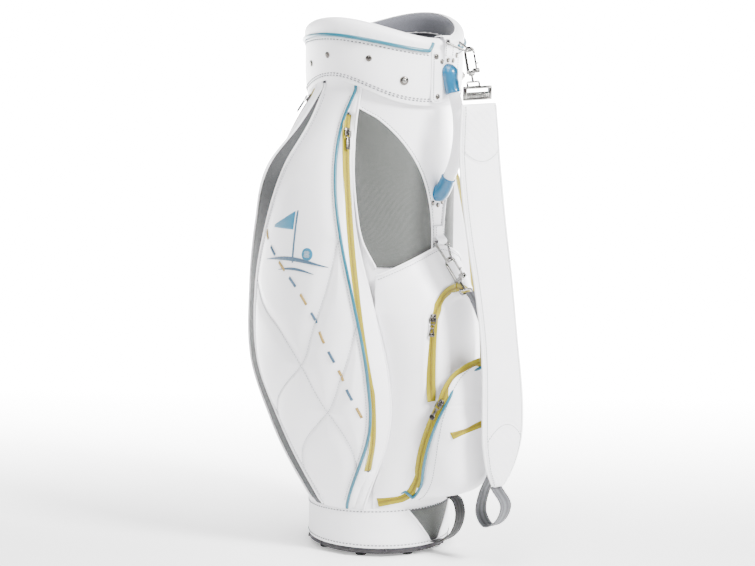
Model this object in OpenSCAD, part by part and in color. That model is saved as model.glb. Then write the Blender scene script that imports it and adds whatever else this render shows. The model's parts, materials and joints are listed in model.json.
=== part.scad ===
// Golf staff bag: a round club tube on a moulded base, with sewn pockets, a stiff collar,
// a carrying handle and a padded shoulder strap hung between two rings.
// The tube's axis is Z and its floor is z = 0. The bag's front, with the handle, faces -Y.
// Places round the bag are polar: an angle from the front, a radius from the axis and a height.

/* [Tube] */
// Outer radius of the club tube
tube_r = 112; // [110:0.5:113]
// Wall of the club tube
tube_wall = 3; // [2:0.5:4]
// Height of the rim at the front and back
rim_low = 824; // [822:1:830]
// How much higher the rim is at the sides
rim_rise = 32; // [26:1:36]

/* [Collar] */
// Outer radius of the collar
collar_r = 125; // [124:0.5:126]
// Height of the collar's top seam at the front
collar_top = 804; // [802:1:806]
// Diameter of the coloured piping under the rim
piping_d = 5; // [4:0.5:5.5]

/* [Base] */
// Radius of the moulded base
base_r = 108; // [104:1:110]
// Height of the feet
foot_h = 6; // [5:0.5:7]
// Top of the base band
band_top = 77; // [74:1:79]
// Number of rubber feet
foot_count = 8; // [6:1:10]

/* [Straps and rings] */
// Width of the shoulder pad at its widest
pad_w = 80; // [70:1:84]
// Thickness of the shoulder pad
pad_t = 12; // [9:1:13]
// Turn of the shoulder pad about its own length
pad_turn = 12; // [8:1:14]
// Width of the webbing
web_w = 25; // [20:1:28]
// Thickness of the webbing
web_t = 2; // [1.5:0.5:2.5]
// Wire radius of the rings
ring_wire = 2; // [1.8:0.1:2.1]
// Diameter of the handle's grip
grip_d = 18; // [16:1:20]

/* [Zips] */
// Width of a zip's tape
tape_w = 13; // [11:1:14]
// Thickness of a zip's tape
tape_t = 1.4; // [1.2:0.1:1.5]
// Length of a zip's puller
pull_l = 30; // [24:1:32]

/* [Hidden] */
$fn = 96;

white = [0.94, 0.94, 0.95];
grey = [0.58, 0.59, 0.59];
dark_grey = [0.38, 0.38, 0.40];
cyan = [0.15, 0.68, 0.82];
yellow = [0.84, 0.79, 0.22];
black = [0.09, 0.08, 0.10];
steel = [0.55, 0.56, 0.58];

skin = 0.3;                        // gap between layers laid over one another
seat_r = tube_r + 1.3;             // inner radius of what is sewn onto the tube
floor_z = foot_h + 14;             // where the tube stands
lip_r = 107;                       // inner radius of the padded rim

// ---------- places and curves ----------
function polar(a, r, z) = [r * sin(a), -r * cos(a), z];
function unit(v) = v / norm(v);
function mix(p, q, t) = p + (q - p) * t;
function left(p) = [-p.x, p.y, p.z];

// A smooth curve through values v at the rising stations s, read at x
function station(s, x, i = 0) = i >= len(s) - 2 || x < s[i + 1] ? i : station(s, x, i + 1);
function slope(s, v, i) =
    let (a = max(i - 1, 0), b = min(i + 1, len(s) - 1)) (v[b] - v[a]) / (s[b] - s[a]);
function smooth(s, v, x) =
    let (i = station(s, x), h = s[i + 1] - s[i], t = min(max((x - s[i]) / h, 0), 1))
    (2 * t ^ 3 - 3 * t ^ 2 + 1) * v[i] + (t ^ 3 - 2 * t ^ 2 + t) * h * slope(s, v, i)
    + (3 * t ^ 2 - 2 * t ^ 3) * v[i + 1] + (t ^ 3 - t ^ 2) * h * slope(s, v, i + 1);

// A smooth path through points p, read at u from 0 to len(p) - 1
function along(p, u) =
    let (i = min(floor(u), len(p) - 2), t = u - i,
         a = p[max(i - 1, 0)], b = p[i], c = p[i + 1], d = p[min(i + 2, len(p) - 1)])
    0.5 * (2 * b + (c - a) * t + (2 * a - 5 * b + 4 * c - d) * t ^ 2
           + (3 * b - a - 3 * c + d) * t ^ 3);

// Circle through three points: [centre, axis, radius, swept angle]
function circle3(p, q, r) =
    let (u = q - p, v = r - p, n = cross(u, v),
         c = p + (cross(n, u) * (v * v) + cross(v, n) * (u * u)) / (2 * (n * n)),
         k = unit(n), x = unit(p - c), e = r - c)
    [c, k, norm(p - c), (atan2(e * cross(k, x), e * x) + 360) % 360];

module frame_at(o, x, y, z)
    multmatrix([[x.x, y.x, z.x, o.x], [x.y, y.y, z.y, o.y], [x.z, y.z, z.z, o.z], [0, 0, 0, 1]])
        children();

// ---------- solids from grids of points ----------
// A closed slab between an outer grid a and an inner grid b of the same size
module slab(a, b) {
    m = len(a);
    n = len(a[0]);
    points = [for (g = [a, b]) for (row = g) for (p = row) p];
    function at(k, i, j) = k * m * n + i * n + j;
    function quad(p, q, r, s) = [[p, q, r], [p, r, s]];
    quads = [
        for (i = [0 : m - 2]) for (j = [0 : n - 2])
            each concat(quad(at(0, i, j), at(0, i + 1, j), at(0, i + 1, j + 1), at(0, i, j + 1)),
                        quad(at(1, i, j), at(1, i, j + 1), at(1, i + 1, j + 1), at(1, i + 1, j))),
        for (i = [0 : m - 2])
            each concat(quad(at(0, i, 0), at(1, i, 0), at(1, i + 1, 0), at(0, i + 1, 0)),
                        quad(at(0, i, n - 1), at(0, i + 1, n - 1), at(1, i + 1, n - 1), at(1, i, n - 1))),
        for (j = [0 : n - 2])
            each concat(quad(at(0, 0, j), at(0, 0, j + 1), at(1, 0, j + 1), at(1, 0, j)),
                        quad(at(0, m - 1, j), at(1, m - 1, j), at(1, m - 1, j + 1), at(0, m - 1, j + 1)))
    ];
    polyhedron(points, quads, convexity = 8);
}

// A closed bar from rings of points, each ring in the same order
module rings(r, loop = false) {
    m = len(r);
    n = len(r[0]);
    last = loop ? m - 1 : m - 2;
    sides = [for (i = [0 : last]) for (j = [0 : n - 1])
        let (a = i * n + j, b = i * n + (j + 1) % n, c = ((i + 1) % m) * n + (j + 1) % n,
             d = ((i + 1) % m) * n + j)
        each [[a, b, c], [a, c, d]]];
    caps = loop ? [] : [[for (j = [n - 1 : -1 : 0]) j], [for (j = [0 : n - 1]) (m - 1) * n + j]];
    polyhedron([for (ring = r) for (p = ring) p], concat(sides, caps), convexity = 8);
}

// ---------- the rim, collar and base lines ----------
function rim_z(a) = rim_low + rim_rise * sin(a) ^ 2;
collar_arch = 325;                 // radius of the collar's arched top seam, seen from the front
function seam_z(x) = collar_top + collar_arch - sqrt(collar_arch ^ 2 - x ^ 2);
function hem_z(a) = 735.3 - 19.5 * cos(2 * a) + 4.25 * cos(4 * a);
shield_half = 16;                  // half angle of the shield on the collar's front

module above_seam()
    translate([0, 150, collar_top + collar_arch]) rotate([90, 0, 0])
        cylinder(r = collar_arch, h = 300, $fn = 240);

// ---------- the side pockets ----------
// Their curves are read at these heights, from the base band up to the collar
side_s = [80, 200, 300, 420, 530, 620, 690, 745];
seam_a = [63, 45, 45.5, 58.5, 72, 75.5, 73, 69];
seam_r = [114.5, 126, 129, 124, 118, 115, 114.5, 114.5];
fore_a = [77, 58, 57.5, 64.5, 73.5, 80.5, 82, 73];
fore_r = [115.5, 150, 174, 180, 170, 148, 124, 115];
rear_a = [102, 128, 137, 132, 124, 116.5, 109, 103];
rear_r = [117, 162, 197, 202, 190, 169, 135, 116];
wing_a = [112, 137, 144.5, 140, 132, 121, 113, 105];
wing_r = [121, 175, 210, 211, 203, 192, 146, 118];
back_a = [118, 146, 160, 162, 153, 141, 127, 112];
side_top = 740;                    // just under the collar's hem

function side_a(v, z) = smooth(side_s, v, z);

// The front zip's centre line, a circle laid in the gusset
side_arc = [polar(78.5, 124, 680), polar(66.5, 163, 470), polar(55.5, 155, 270)];
side_c = circle3(side_arc[0], side_arc[1], side_arc[2]);
side_zip_turn = side_c[3];
arc_steps = 24;
function on_arc(c, p, g) =
    let (x = p - c[0]) c[0] + x * cos(g) + cross(c[1], x) * sin(g);
side_zip_pts = [for (i = [arc_steps : -1 : 0])
    on_arc(side_c, side_arc[0], side_zip_turn * i / arc_steps)];
zip_low = [polar(65, 115, 80), polar(59.5, 129, 140), polar(55, 146, 200)];
zip_high = polar(72, 114.6, 752);
zip_line = concat(zip_low, side_zip_pts, [zip_high]);
zip_x = [for (p = zip_line) [p.z, p.x]];
zip_y = [for (p = zip_line) [p.z, p.y]];

// The rear zip's centre line, a circle laid in the back panel
rear_arc = [polar(117, 128, 726), polar(146, 204, 450), polar(150, 172, 215)];
rear_c = circle3(rear_arc[0], rear_arc[1], rear_arc[2]);
rear_zip_pts = [for (i = [arc_steps : -1 : 0]) on_arc(rear_c, rear_arc[0], rear_c[3] * i / arc_steps)];
rear_line = concat([polar(118, 118, 80), polar(140, 144, 150)], rear_zip_pts, [polar(113.5, 117, 752)]);
rear_x = [for (p = rear_line) [p.z, p.x]];
rear_y = [for (p = rear_line) [p.z, p.y]];

face_steps = 4;
tape_half = tape_w * 0.55;         // from a zip's middle to the fabric beside its tape
seam_step = 0.4;                   // turn by which a pocket clears the seam it is sewn to
// One level of the side pocket's outside, from the front seam round to the back seam.
// panel is how far the face and the rear band stand inside their finished surface.
function side_row(z, panel) =
    let (zip = [lookup(z, zip_x), lookup(z, zip_y), z],
         fore = polar(side_a(fore_a, z), side_a(fore_r, z), z),
         across = unit(fore - zip) * tape_half,
         under = unit(cross([0, 0, 1], fore - zip)) * -(tape_t / 2 + skin),
         seam = polar(side_a(seam_a, z) + seam_step, side_a(seam_r, z), z),
         wing = polar(side_a(wing_a, z), side_a(wing_r, z), z),
         back = polar(side_a(back_a, z), tube_r + 2.6, z),
         rear_zip = [lookup(z, rear_x), lookup(z, rear_y), z],
         round = unit([rear_zip.x, rear_zip.y, 0]) * (tape_t / 2 + skin),
         behind = unit(back - wing) * tape_half,
         inward = side_inward(z) * panel)
    concat([seam, zip - across - under, zip + across - under, fore * (1 - panel / 180)],
           [for (i = [1 : face_steps])
               let (t = i / face_steps)
               polar(mix(side_a(fore_a, z), side_a(rear_a, z), t),
                     mix(side_a(fore_r, z), side_a(rear_r, z), t) - panel, z)],
           [wing + inward, rear_zip - behind - round, rear_zip + behind - round, back]);
function side_inward(z) =
    let (rear = polar(side_a(rear_a, z), side_a(rear_r, z), z),
         wing = polar(side_a(wing_a, z), side_a(wing_r, z), z),
         d = unit(wing - rear))
    [-d.y, d.x, 0];
side_low = 82;                     // just over the base band
side_levels = 17;
side_z = [for (i = [0 : side_levels]) mix(side_low, side_top, i / side_levels)];
panel_t = 2.5;                     // thickness of the face and the rear band
panel_gap = 1;                     // behind the face and the rear band

module side_pocket() {
    outer = [for (z = side_z) side_row(z, panel_t + panel_gap)];
    n = len(outer[0]);
    inner = [for (i = [0 : side_levels])
        let (z = side_z[i], a = side_a(seam_a, z) + seam_step, b = side_a(back_a, z))
        [for (j = [0 : n - 1]) polar(mix(a, b, j / (n - 1)), seat_r, z)]];
    color(white) difference() {
        slab(outer, inner);
        mirrored() zip_channel(side_zip_def, side_tilt);
        mirrored() zip_channel(rear_zip_def, rear_tilt);
    }
}

module side_face() {
    function row(z, depth) = [for (i = [0 : face_steps])
        let (t = i / face_steps)
        polar(mix(side_a(fore_a, z) + 0.6, side_a(rear_a, z) - 0.4, t),
              mix(side_a(fore_r, z), side_a(rear_r, z), t) - depth, z)];
    color(white) slab([for (z = side_z) row(z, 0)], [for (z = side_z) row(z, panel_t)]);
}

module side_band() {
    function row(z, depth) =
        let (rear = polar(side_a(rear_a, z) + 0.4, side_a(rear_r, z) + 0.3, z),
             wing = polar(side_a(wing_a, z), side_a(wing_r, z), z), w = side_inward(z) * depth)
        [rear + w, mix(rear, wing, 0.5) + w, wing + w];
    color(grey) slab([for (z = side_z) row(z, 0)], [for (z = side_z) row(z, panel_t)]);
}

// ---------- the front pockets ----------
front_s = [84, 105, 140, 200, 300, 380, 434, 470, 500];
front_r = [115.5, 132, 150, 164, 172, 167, 148, 126, 116];
function front_top(a) = 498 - 44 * (abs(a) / 56) ^ 1.3;
function front_seam(z) = min(side_a(seam_a, z), 56) - 0.6;
function front_edge(z) = min(side_a(seam_r, z), smooth(front_s, front_r, z));
function front_surface(a, z) =
    let (e = front_edge(z), c = smooth(front_s, front_r, z))
    e + (c - e) * (1 - min(abs(a) / front_seam(z), 1) ^ 2.6);
front_low = 84;
front_side_top = 454;              // the pocket's height along its side seams
front_rows = 12;
front_cols = 14;

module accessory_pocket() {
    function level(i, j) =
        let (t = 2 * j / front_cols - 1, a = t * front_seam(mix(front_low, front_side_top, i / front_rows)))
        [a, mix(front_low, front_top(a), i / front_rows)];
    function cell(i, j, seated) =
        let (az = level(i, j), a = az[0], z = az[1])
        polar(a, seated ? seat_r : front_surface(a, z), z);
    color(white) difference() {
        slab([for (i = [0 : front_rows]) [for (j = [front_cols : -1 : 0]) cell(i, j, false)]],
             [for (i = [0 : front_rows]) [for (j = [front_cols : -1 : 0]) cell(i, j, true)]]);
        zip_channel(accessory_def, front_tilt);
        zip_channel(ball_def, front_tilt);
    }
}

ball_s = [92, 105, 130, 160, 200, 250, 300, 322];
ball_r = [128, 172, 203, 211, 213, 210, 204, 199];
ball_half = [26, 25.5, 25.5, 26, 25.8, 22.5, 14, 2];
ball_edge = [119, 126, 139, 154, 168, 178, 190, 198];
ball_top = 322;
ball_thick = 3;                    // least thickness of the ball pocket's edge
ball_rows = 14;
ball_cols = 12;

module ball_pocket() {
    function cell(i, j, seated) =
        let (z = mix(ball_s[0], ball_top, i / ball_rows), t = 2 * j / ball_cols - 1,
             a = t * smooth(ball_s, ball_half, z), e = smooth(ball_s, ball_edge, z),
             under = front_surface(a, z) + skin + 0.2,
             r = e + (smooth(ball_s, ball_r, z) - e) * (1 - abs(t) ^ 3))
        polar(a, seated ? under : max(r, under + ball_thick), z);
    color(white) difference() {
        slab([for (i = [0 : ball_rows]) [for (j = [ball_cols : -1 : 0]) cell(i, j, false)]],
             [for (i = [0 : ball_rows]) [for (j = [ball_cols : -1 : 0]) cell(i, j, true)]]);
        zip_channel(ball_def, front_tilt);
        zip_channel(valuables_def, front_tilt, valuables_park);
    }
}

// ---------- zips ----------
// Each zip is [start, middle, end, tilt, end slack]: its slider starts at the first point and
// runs to the last one. tilt turns the tape about its own line; the slack lengthens the tape.
side_zip_def = [left(side_arc[0]), left(side_arc[1]), left(side_arc[2])];
rear_zip_def = [left(rear_arc[0]), left(rear_arc[1]), left(rear_arc[2])];
accessory_def = [polar(-20.5, 161, 393), polar(-22.6, 166.5, 345), polar(-23, 168.5, 291)];
ball_def = [polar(-20.5, 187, 262), polar(-26.6, 171, 200), polar(-26.6, 148, 137)];
// The valuables zip is even about the middle; its slider is parked part of the way along
valuables_start = polar(17, 204, 213);
valuables_c = circle3(valuables_start, polar(0, 216.5, 228), polar(-17, 204, 213));
valuables_park = 0.2 * valuables_c[3];
valuables_def = [for (g = [valuables_park, 0.6 * valuables_c[3], valuables_c[3]])
    on_arc(valuables_c, valuables_start, g)];

slide_gap = 0.4;                   // between a tape and its slider
slider_w = 8;
slider_l = 12;
slider_t = 4;
pull_w = 8;
pull_t = 1.8;
pull_pin = 1;                      // radius of the bridge that a puller hangs on

// The outward direction of a zip's tape at its start
function zip_frame(d, tilt) =
    let (c = circle3(d[0], d[1], d[2]), x = unit(d[0] - c[0]), k = c[1])
    [c, x, k, x * cos(tilt) + k * sin(tilt)];

module zip_tape(d, tilt, before, after) {
    f = zip_frame(d, tilt);
    c = f[0];
    turn = c[3];
    color(yellow) frame_at(c[0], f[1], cross(c[1], f[1]), c[1])
        rotate([0, 0, -before]) rotate_extrude(angle = turn + before + after, $fn = 360)
            translate([c[2], 0]) rotate(tilt)
                translate([-tape_t / 2, 0]) square([tape_t, tape_w], center = true);
}

// What a zip needs clear of the fabric round it: the tape's seat and the slider's way over it
channel_out = 12;
module zip_channel(d, tilt, before = 0) {
    f = zip_frame(d, tilt);
    c = f[0];
    seat = tape_t + skin;
    ends = (slider_l / 2 + 4) / c[2] * 180 / PI;
    frame_at(c[0], f[1], cross(c[1], f[1]), c[1])
        rotate([0, 0, -before - ends]) rotate_extrude(angle = c[3] + before + 2 * ends, $fn = 180)
            translate([c[2], 0]) rotate(tilt)
                translate([(channel_out - seat) / 2, 0])
                    square([channel_out + seat, tape_w + 1], center = true);
}

// Local frame of a slider: X across the tape, Y back along the zip, Z out of the tape
module on_zip(d, tilt) {
    f = zip_frame(d, tilt);
    out = f[3];
    back = -cross(f[2], f[1]);
    frame_at(d[0], cross(back, out), back, out) children();
}

bridge_z = slide_gap + 4.4;        // height of the puller's pin over the tape
// spin turns the bridge and puller on a slider whose zip runs level, so that the puller hangs
module slider_body(d, tilt, spin = 0)
    color(steel) on_zip(d, tilt) {
        translate([-slider_w / 2, -slider_l / 2, slide_gap]) cube([slider_w, slider_l, 2.8]);
        rotate([0, 0, spin]) {
            for (s = [-1, 1])
                translate([-1, s * 2.4 - 0.5, slide_gap + 2.6]) cube([2, 1, 3.4]);
            translate([-1, -2.9, slide_gap + 5.6]) cube([2, 5.8, 1]);
        }
    }

// The puller turns on a pin under the slider's bridge; its two arms pass beside the slider
module puller_body(d, tilt, spin = 0) {
    span = (spin == 0 ? slider_w : slider_l) + 2;
    root = (spin == 0 ? slider_l : slider_w) / 2 + 2;
    color(steel) on_zip(d, tilt) translate([0, 0, bridge_z]) rotate([0, 0, spin]) {
        rotate([0, 90, 0]) cylinder(r = pull_pin, h = span + 1, center = true);
        for (s = [-1, 1])
            translate([s * span / 2 - 0.6, -root - 2, -pull_t / 2]) cube([1.2, root + 3, pull_t]);
        translate([0, 0, -pull_t / 2]) linear_extrude(pull_t) difference() {
            union() {
                translate([-span / 2 - 0.6, -root - 3]) square([span + 1.2, 3]);
                translate([-pull_w / 2, -pull_l + 4]) square([pull_w, pull_l - 5 - root]);
                translate([0, 4 - pull_l]) circle(d = pull_w);
            }
            translate([0, 4 - pull_l]) circle(d = 3);
        }
    }
}

module mirrored() mirror([1, 0, 0]) children();

side_tilt = 58;
rear_tilt = 30;
front_tilt = 12;
side_slack = 1.2;                  // how far a tape runs on past its slider's ends, in degrees
slack = 1;

// ---------- base ----------
module base_tray()
    color(black) {
        translate([0, 0, foot_h]) cylinder(r = base_r, h = 8);
        translate([0, 0, foot_h + 8]) cylinder(r = tube_r - 0.2, h = floor_z - foot_h - 8);
        cylinder(r = 35, h = foot_h);
    }

module base_feet()
    color(black)
        for (i = [0 : foot_count - 1])
            rotate([0, 0, (i + 0.5) * 360 / foot_count])
                translate([base_r - 11, 0, 0]) cylinder(r = 9, h = foot_h);

module ring_wall(r_in, r_out, z0, z1)
    translate([0, 0, z0]) difference() {
        cylinder(r = r_out, h = z1 - z0);
        translate([0, 0, -1]) cylinder(r = r_in, h = z1 - z0 + 2);
    }

band_low = 15;
band_tilt = 2.5;                   // the band's top edge rises to the front
band_r = tube_r + 2.2;
module base_band()
    color(white) difference() {
        ring_wall(tube_r + skin, band_r, band_low, band_top + 10);
        translate([0, 0, band_top]) rotate([-band_tilt, 0, 0])
            translate([-150, -150, 0]) cube([300, 300, 50]);
    }

panel_half = 52;                   // half width of the front panel's top edge
module base_front_panel()
    color(grey) intersection() {
        ring_wall(band_r + 0.1, band_r + 1.1, 17, 76);
        rotate([90, 0, 0]) linear_extrude(150)
            polygon([[0, 17], [8, 19], [panel_half, 76], [-panel_half, 76], [-8, 19]]);
    }

// A flat strip in the bag's middle plane, swept along points [radius, height]
module strip(path, w, t, turn = 0, steps = 30) {
    p = [for (q = path) [q[0], q[1], 0]];
    last = len(p) - 1;
    ring_pts = [for (i = [0 : steps])
        let (u = last * i / steps, c = along(p, u),
             d = unit(along(p, min(u + 0.05, last)) - along(p, max(u - 0.05, 0))),
             out = [d.y, -d.x] * t / 2)
        [for (k = [[-1, 1], [1, 1], [1, -1], [-1, -1]])
            let (r = c.x + k[1] * out.x, z = c.y + k[1] * out.y, x = k[0] * w / 2)
            [x * cos(turn), -r - x * sin(turn), z]]];
    rings(ring_pts);
}

loop_path = [[140, 100], [160, 93], [167, 70], [158, 42], [138, 24], [117, 19]];
module grab_loop() color(black) strip(loop_path, web_w, web_t);

// ---------- tube, collar and rim ----------
module bag_tube()
    color(white) difference() {
        ring_wall(tube_r - tube_wall, tube_r, floor_z, tall);
        above_seam();
    }

module top_lining()
    color(dark_grey) difference() {
        ring_wall(lip_r, tube_r - tube_wall - 0.1, 640, tall);
        above_seam();
    }

tall = 860;                        // over the highest part of the rim
hem_step = 7.5;
module collar_band()
    color(white) difference() {
        ring_wall(tube_r + skin, collar_r, 700, tall);
        above_seam();
        translate([0, 150, 0]) rotate([90, 0, 0]) linear_extrude(300)
            polygon(concat([[130, 690], [130, hem_z(90)]],
                           [for (a = [90 : -hem_step : -90]) [collar_r * sin(a), hem_z(a)]],
                           [[-130, hem_z(90)], [-130, 690]]));
    }

cushion_steps = 60;
module rim_cushion() {
    function section(a) =
        let (top = rim_z(a),
             low = seam_z(collar_r * sin(a)) + 0.15, inner = seam_z(lip_r * sin(a)) + 0.15)
        [for (q = [[collar_r, low], [collar_r + 1, low + 6], [collar_r - 1, top - 8],
                   [collar_r - 5, top - 2], [116, top], [110.5, top - 2], [lip_r, top - 8],
                   [lip_r - 0.5, inner + 5], [lip_r, inner]]) polar(a, q[0], q[1])];
    color(white) rings([for (i = [0 : cushion_steps - 1]) section(360 * i / cushion_steps)], true);
}

// A round tube of radius r along points p
module tube_along(p, r, sides = 8, loop = false) {
    n = len(p);
    rings([for (i = [0 : n - 1])
        let (d = unit(p[loop ? (i + 1) % n : min(i + 1, n - 1)]
                      - p[loop ? (i + n - 1) % n : max(i - 1, 0)]),
             x = unit(cross([0, 0, 1], d)), y = cross(d, x))
        [for (k = [0 : sides - 1])
            let (g = 360 * k / sides) p[i] + (x * cos(g) + y * sin(g)) * r]], loop);
}

module collar_piping() {
    r = collar_r + piping_d / 2 + 1.2;
    color(cyan) tube_along([for (i = [0 : 72])
        let (a = mix(shield_half + 2, 358 - shield_half, i / 72))
        polar(a, r, seam_z(collar_r * sin(a)))], piping_d / 2);
}

shield_out = collar_r + 1.8;
module front_shield()
    color(white) intersection() {
        ring_wall(collar_r + 0.1, shield_out, 715, 810);
        rotate([90, 0, 0]) linear_extrude(150) hull() {
            for (s = [-1, 1]) translate([s * 26, 732]) circle(r = 8, $fn = 32);
            translate([-34, 790]) square([68, 12]);
        }
    }

// A round-headed stud standing on a wall of radius r
module stud(a, r, z, head = 4, h = 2.2)
    rotate([0, 0, a]) translate([0, -r + 0.15, z]) rotate([90, 0, 0]) cylinder(r = head, h = h);

module collar_studs()
    color(steel) {
        for (s = [-1, 1]) {
            stud(s * 117, collar_r, 781);
            stud(s * 96, collar_r, 797);
            stud(s * 62, collar_r, 795);
            stud(s * 36.6, collar_r, 761, 6.5);
            stud(s * 11.5, shield_out, 797, 3.5);
            stud(s * 10, shield_out, 735, 3.5);
        }
    }

// ---------- dividers ----------
bar_x = 34;                        // places of the two bars that run front to back
divider_z = 782;
module divider_frame()
    color(black) {
        ring_wall(100, lip_r - 0.2, divider_z, divider_z + 14);
        intersection() {
            translate([0, 0, divider_z]) cylinder(r = 103, h = 14);
            union() {
                translate([-110, -3, divider_z]) cube([220, 6, 14]);
                for (s = [-1, 1]) translate([s * bar_x - 3, -110, divider_z]) cube([6, 220, 14]);
            }
        }
    }

module divider_walls()
    color(dark_grey) intersection() {
        translate([0, 0, floor_z + 1]) cylinder(r = lip_r - 1, h = divider_z - floor_z - 1.1);
        union() {
            translate([-110, -0.6, 0]) cube([220, 1.2, 800]);
            for (s = [-1, 1]) translate([s * bar_x - 0.6, -110, 0]) cube([1.2, 220, 800]);
        }
    }

// ---------- mesh panels ----------
mesh_s = [468, 510, 560, 610, 660, 700, 718];
mesh_in = [8, 7, 9.5, 17.5, 33.5, 54, 71];
mesh_out = [56, 67, 72, 74.4, 74.2, 72.6, 71.8];
mesh_top = 718;
mesh_cols = 18;
mesh_rows = 26;
module mesh_panel() {
    function cell(z, t, r) = polar(-mix(smooth(mesh_s, mesh_in, z), smooth(mesh_s, mesh_out, z), t), r, z);
    rows = [for (i = [0 : mesh_rows]) mix(mesh_s[0], mesh_top, i / mesh_rows)];
    color(grey) slab([for (z = rows) [for (j = [0 : mesh_cols]) cell(z, j / mesh_cols, tube_r + 1)]],
                     [for (z = rows) [for (j = [0 : mesh_cols]) cell(z, j / mesh_cols, tube_r + 0.4)]]);
}

// ---------- handle ----------
grip_top = [0, -138.4, 744];
grip_mid = [0, -152, 672];
grip_low = [0, -131, 603];
grip_c = circle3(grip_top, grip_mid, grip_low);
module handle_grip() {
    x = unit(grip_top - grip_c[0]);
    color(white) frame_at(grip_c[0], x, cross(grip_c[1], x), grip_c[1])
        rotate_extrude(angle = grip_c[3], $fn = 240) translate([grip_c[2], 0]) circle(d = grip_d);
}

// A flattened socket from a plate on the bag to the grip's end
module sleeve(wall, plate_z, end, dir)
    color(cyan) hull() {
        translate([0, -wall - 2, plate_z]) rotate([90, 0, 0]) cylinder(r = 13, h = 3, $fn = 32);
        translate(end) rotate([dir, 0, 0]) cylinder(d = grip_d + 4, h = 3, $fn = 32);
    }
module handle_sleeve_upper() sleeve(shield_out, 768, grip_top + [0, 0.4, 1], 12);
module handle_sleeve_lower() sleeve(tube_r, 588, grip_low + [0, 0.4, -4], -18);

module handle_rivets()
    color(steel) {
        for (a = [-4, 0, 4]) stud(a * 1.6, shield_out, 788 - abs(a), 3);
        for (a = [-6, 6]) stud(a, tube_r, 571, 3.5);
        stud(0, tube_r, 562, 3.5);
    }

// ---------- rings and snap hooks ----------
ring_half = 16;                    // half length of a ring's bar
ring_len = 36;                     // from the bar to the far end
ring_tip = 6;                      // half width of the far end
upper_bar = [0, -135, 819];
upper_slope = -20;                 // the ring's fall from level
lower_bar = [0, -118.5, 505];
lower_slope = -58;

// Ring in its own frame: bar along X at the origin, far end on -Y
module ring_shape() {
    corners = [[-ring_half, 0, 0], [ring_half, 0, 0], [ring_tip, -ring_len, 0], [-ring_tip, -ring_len, 0]];
    color(steel) for (i = [0 : 3]) {
        p = corners[i];
        q = corners[(i + 1) % 4];
        d = q - p;
        translate(p) sphere(r = ring_wire * 1.04, $fn = 48);
        translate(p) rotate([0, 0, atan2(d.y, d.x)]) rotate([0, 90, 0])
            cylinder(r = ring_wire, h = norm(d), $fn = 48);
    }
}
module d_ring_upper() translate(upper_bar) rotate([-upper_slope, 0, 0]) ring_shape();
module d_ring_lower() translate(lower_bar) rotate([-lower_slope, 0, 0]) ring_shape();
function ring_end(bar, slope) = bar + [0, -cos(slope), sin(slope)] * ring_len;

tab_half = 11;
sleeve_r = 4.2;
module tab(bar, wall, z0, z1)
    difference() {
        union() {
            translate([-tab_half, bar.y - 1, bar.z]) rotate([0, 90, 0])
                translate([0, 1, 0]) cylinder(r = sleeve_r, h = 2 * tab_half);
            translate([-tab_half, -wall - 2.2, z0]) cube([2 * tab_half, 2, z1 - z0]);
        }
        translate([-tab_half - 1, bar.y, bar.z]) rotate([0, 90, 0])
            cylinder(r = ring_wire + skin, h = 2 * tab_half + 2);
    }
module ring_tabs()
    color(white) {
        tab(upper_bar, collar_r + 2.2, 796, 822);
        tab(lower_bar, tube_r + 0.4, 502, 528);
    }

// Snap hook in its own frame: the ring's wire runs along X through the origin, shank on -Z
bow_r = 8.5;                       // radius of the bow's middle line
bow_wire = 2.2;
bow_low = -3.2;                    // the bow's centre, so that the wire hangs near its top
hook_neck = -30;                   // top of the hook's base
module hook_shape()
    color(steel) {
        translate([0, 0, bow_low]) rotate([0, 90, 0])
            rotate([0, 0, 90]) rotate_extrude(angle = 180, $fn = 120)
                translate([bow_r, 0]) circle(r = bow_wire, $fn = 48);
        translate([0, bow_r, hook_neck - 1])
            cylinder(r = bow_wire + 0.2, h = bow_low - hook_neck + 1, $fn = 48);
        translate([-3, -bow_r + 4, hook_neck - 5]) cube([6, 2 * bow_r - 1.4, 5]);
        translate([0, 2.5, hook_neck - 8]) cylinder(r = 5, h = 4);
        for (s = [-1, 1])
            translate([s * 4 - 1, -bow_r - 2.5, hook_neck - 5]) cube([2, 7, 8]);
        translate([0, -bow_r, hook_neck]) rotate([0, 90, 0]) cylinder(r = 1, h = 9, center = true, $fn = 32);
    }
module gate_shape()
    color(steel) difference() {
        union() {
            translate([0, -bow_r, hook_neck]) cylinder(r = 1.8, h = bow_low - hook_neck - 0.5, $fn = 32);
            translate([0, -bow_r, hook_neck]) rotate([0, 90, 0]) cylinder(r = 2.4, h = 5, center = true, $fn = 32);
            translate([-2, -bow_r - 5, hook_neck + 8]) cube([4, 5, 3]);
        }
        translate([0, -bow_r, hook_neck]) rotate([0, 90, 0]) cylinder(r = 1.05, h = 7, center = true, $fn = 32);
    }
module swivel_shape(len)
    color(steel) {
        translate([0, 2.5, hook_neck - 8 - len]) cylinder(r = 2, h = len - 0.3, $fn = 48);
        translate([-web_w / 2 - 3, 0.5, hook_neck - 8 - len - 3]) cube([web_w + 6, 4, 3.2]);
    }

upper_hook = ring_end(upper_bar, upper_slope);
lower_hook = ring_end(lower_bar, lower_slope);
lower_lean = 40;
upper_lean = 13;
module at_upper_hook() translate(upper_hook) rotate([-upper_lean, 0, 0]) children();
module at_lower_hook() translate(lower_hook) rotate([-lower_lean, 0, 0]) children();
module snap_hook_upper() at_upper_hook() hook_shape();
module snap_hook_lower() at_lower_hook() hook_shape();
module gate_upper() at_upper_hook() gate_shape();
module gate_lower() at_lower_hook() gate_shape();
module hook_swivels() {
    at_upper_hook() swivel_shape(8);
    at_lower_hook() swivel_shape(12);
}

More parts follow.
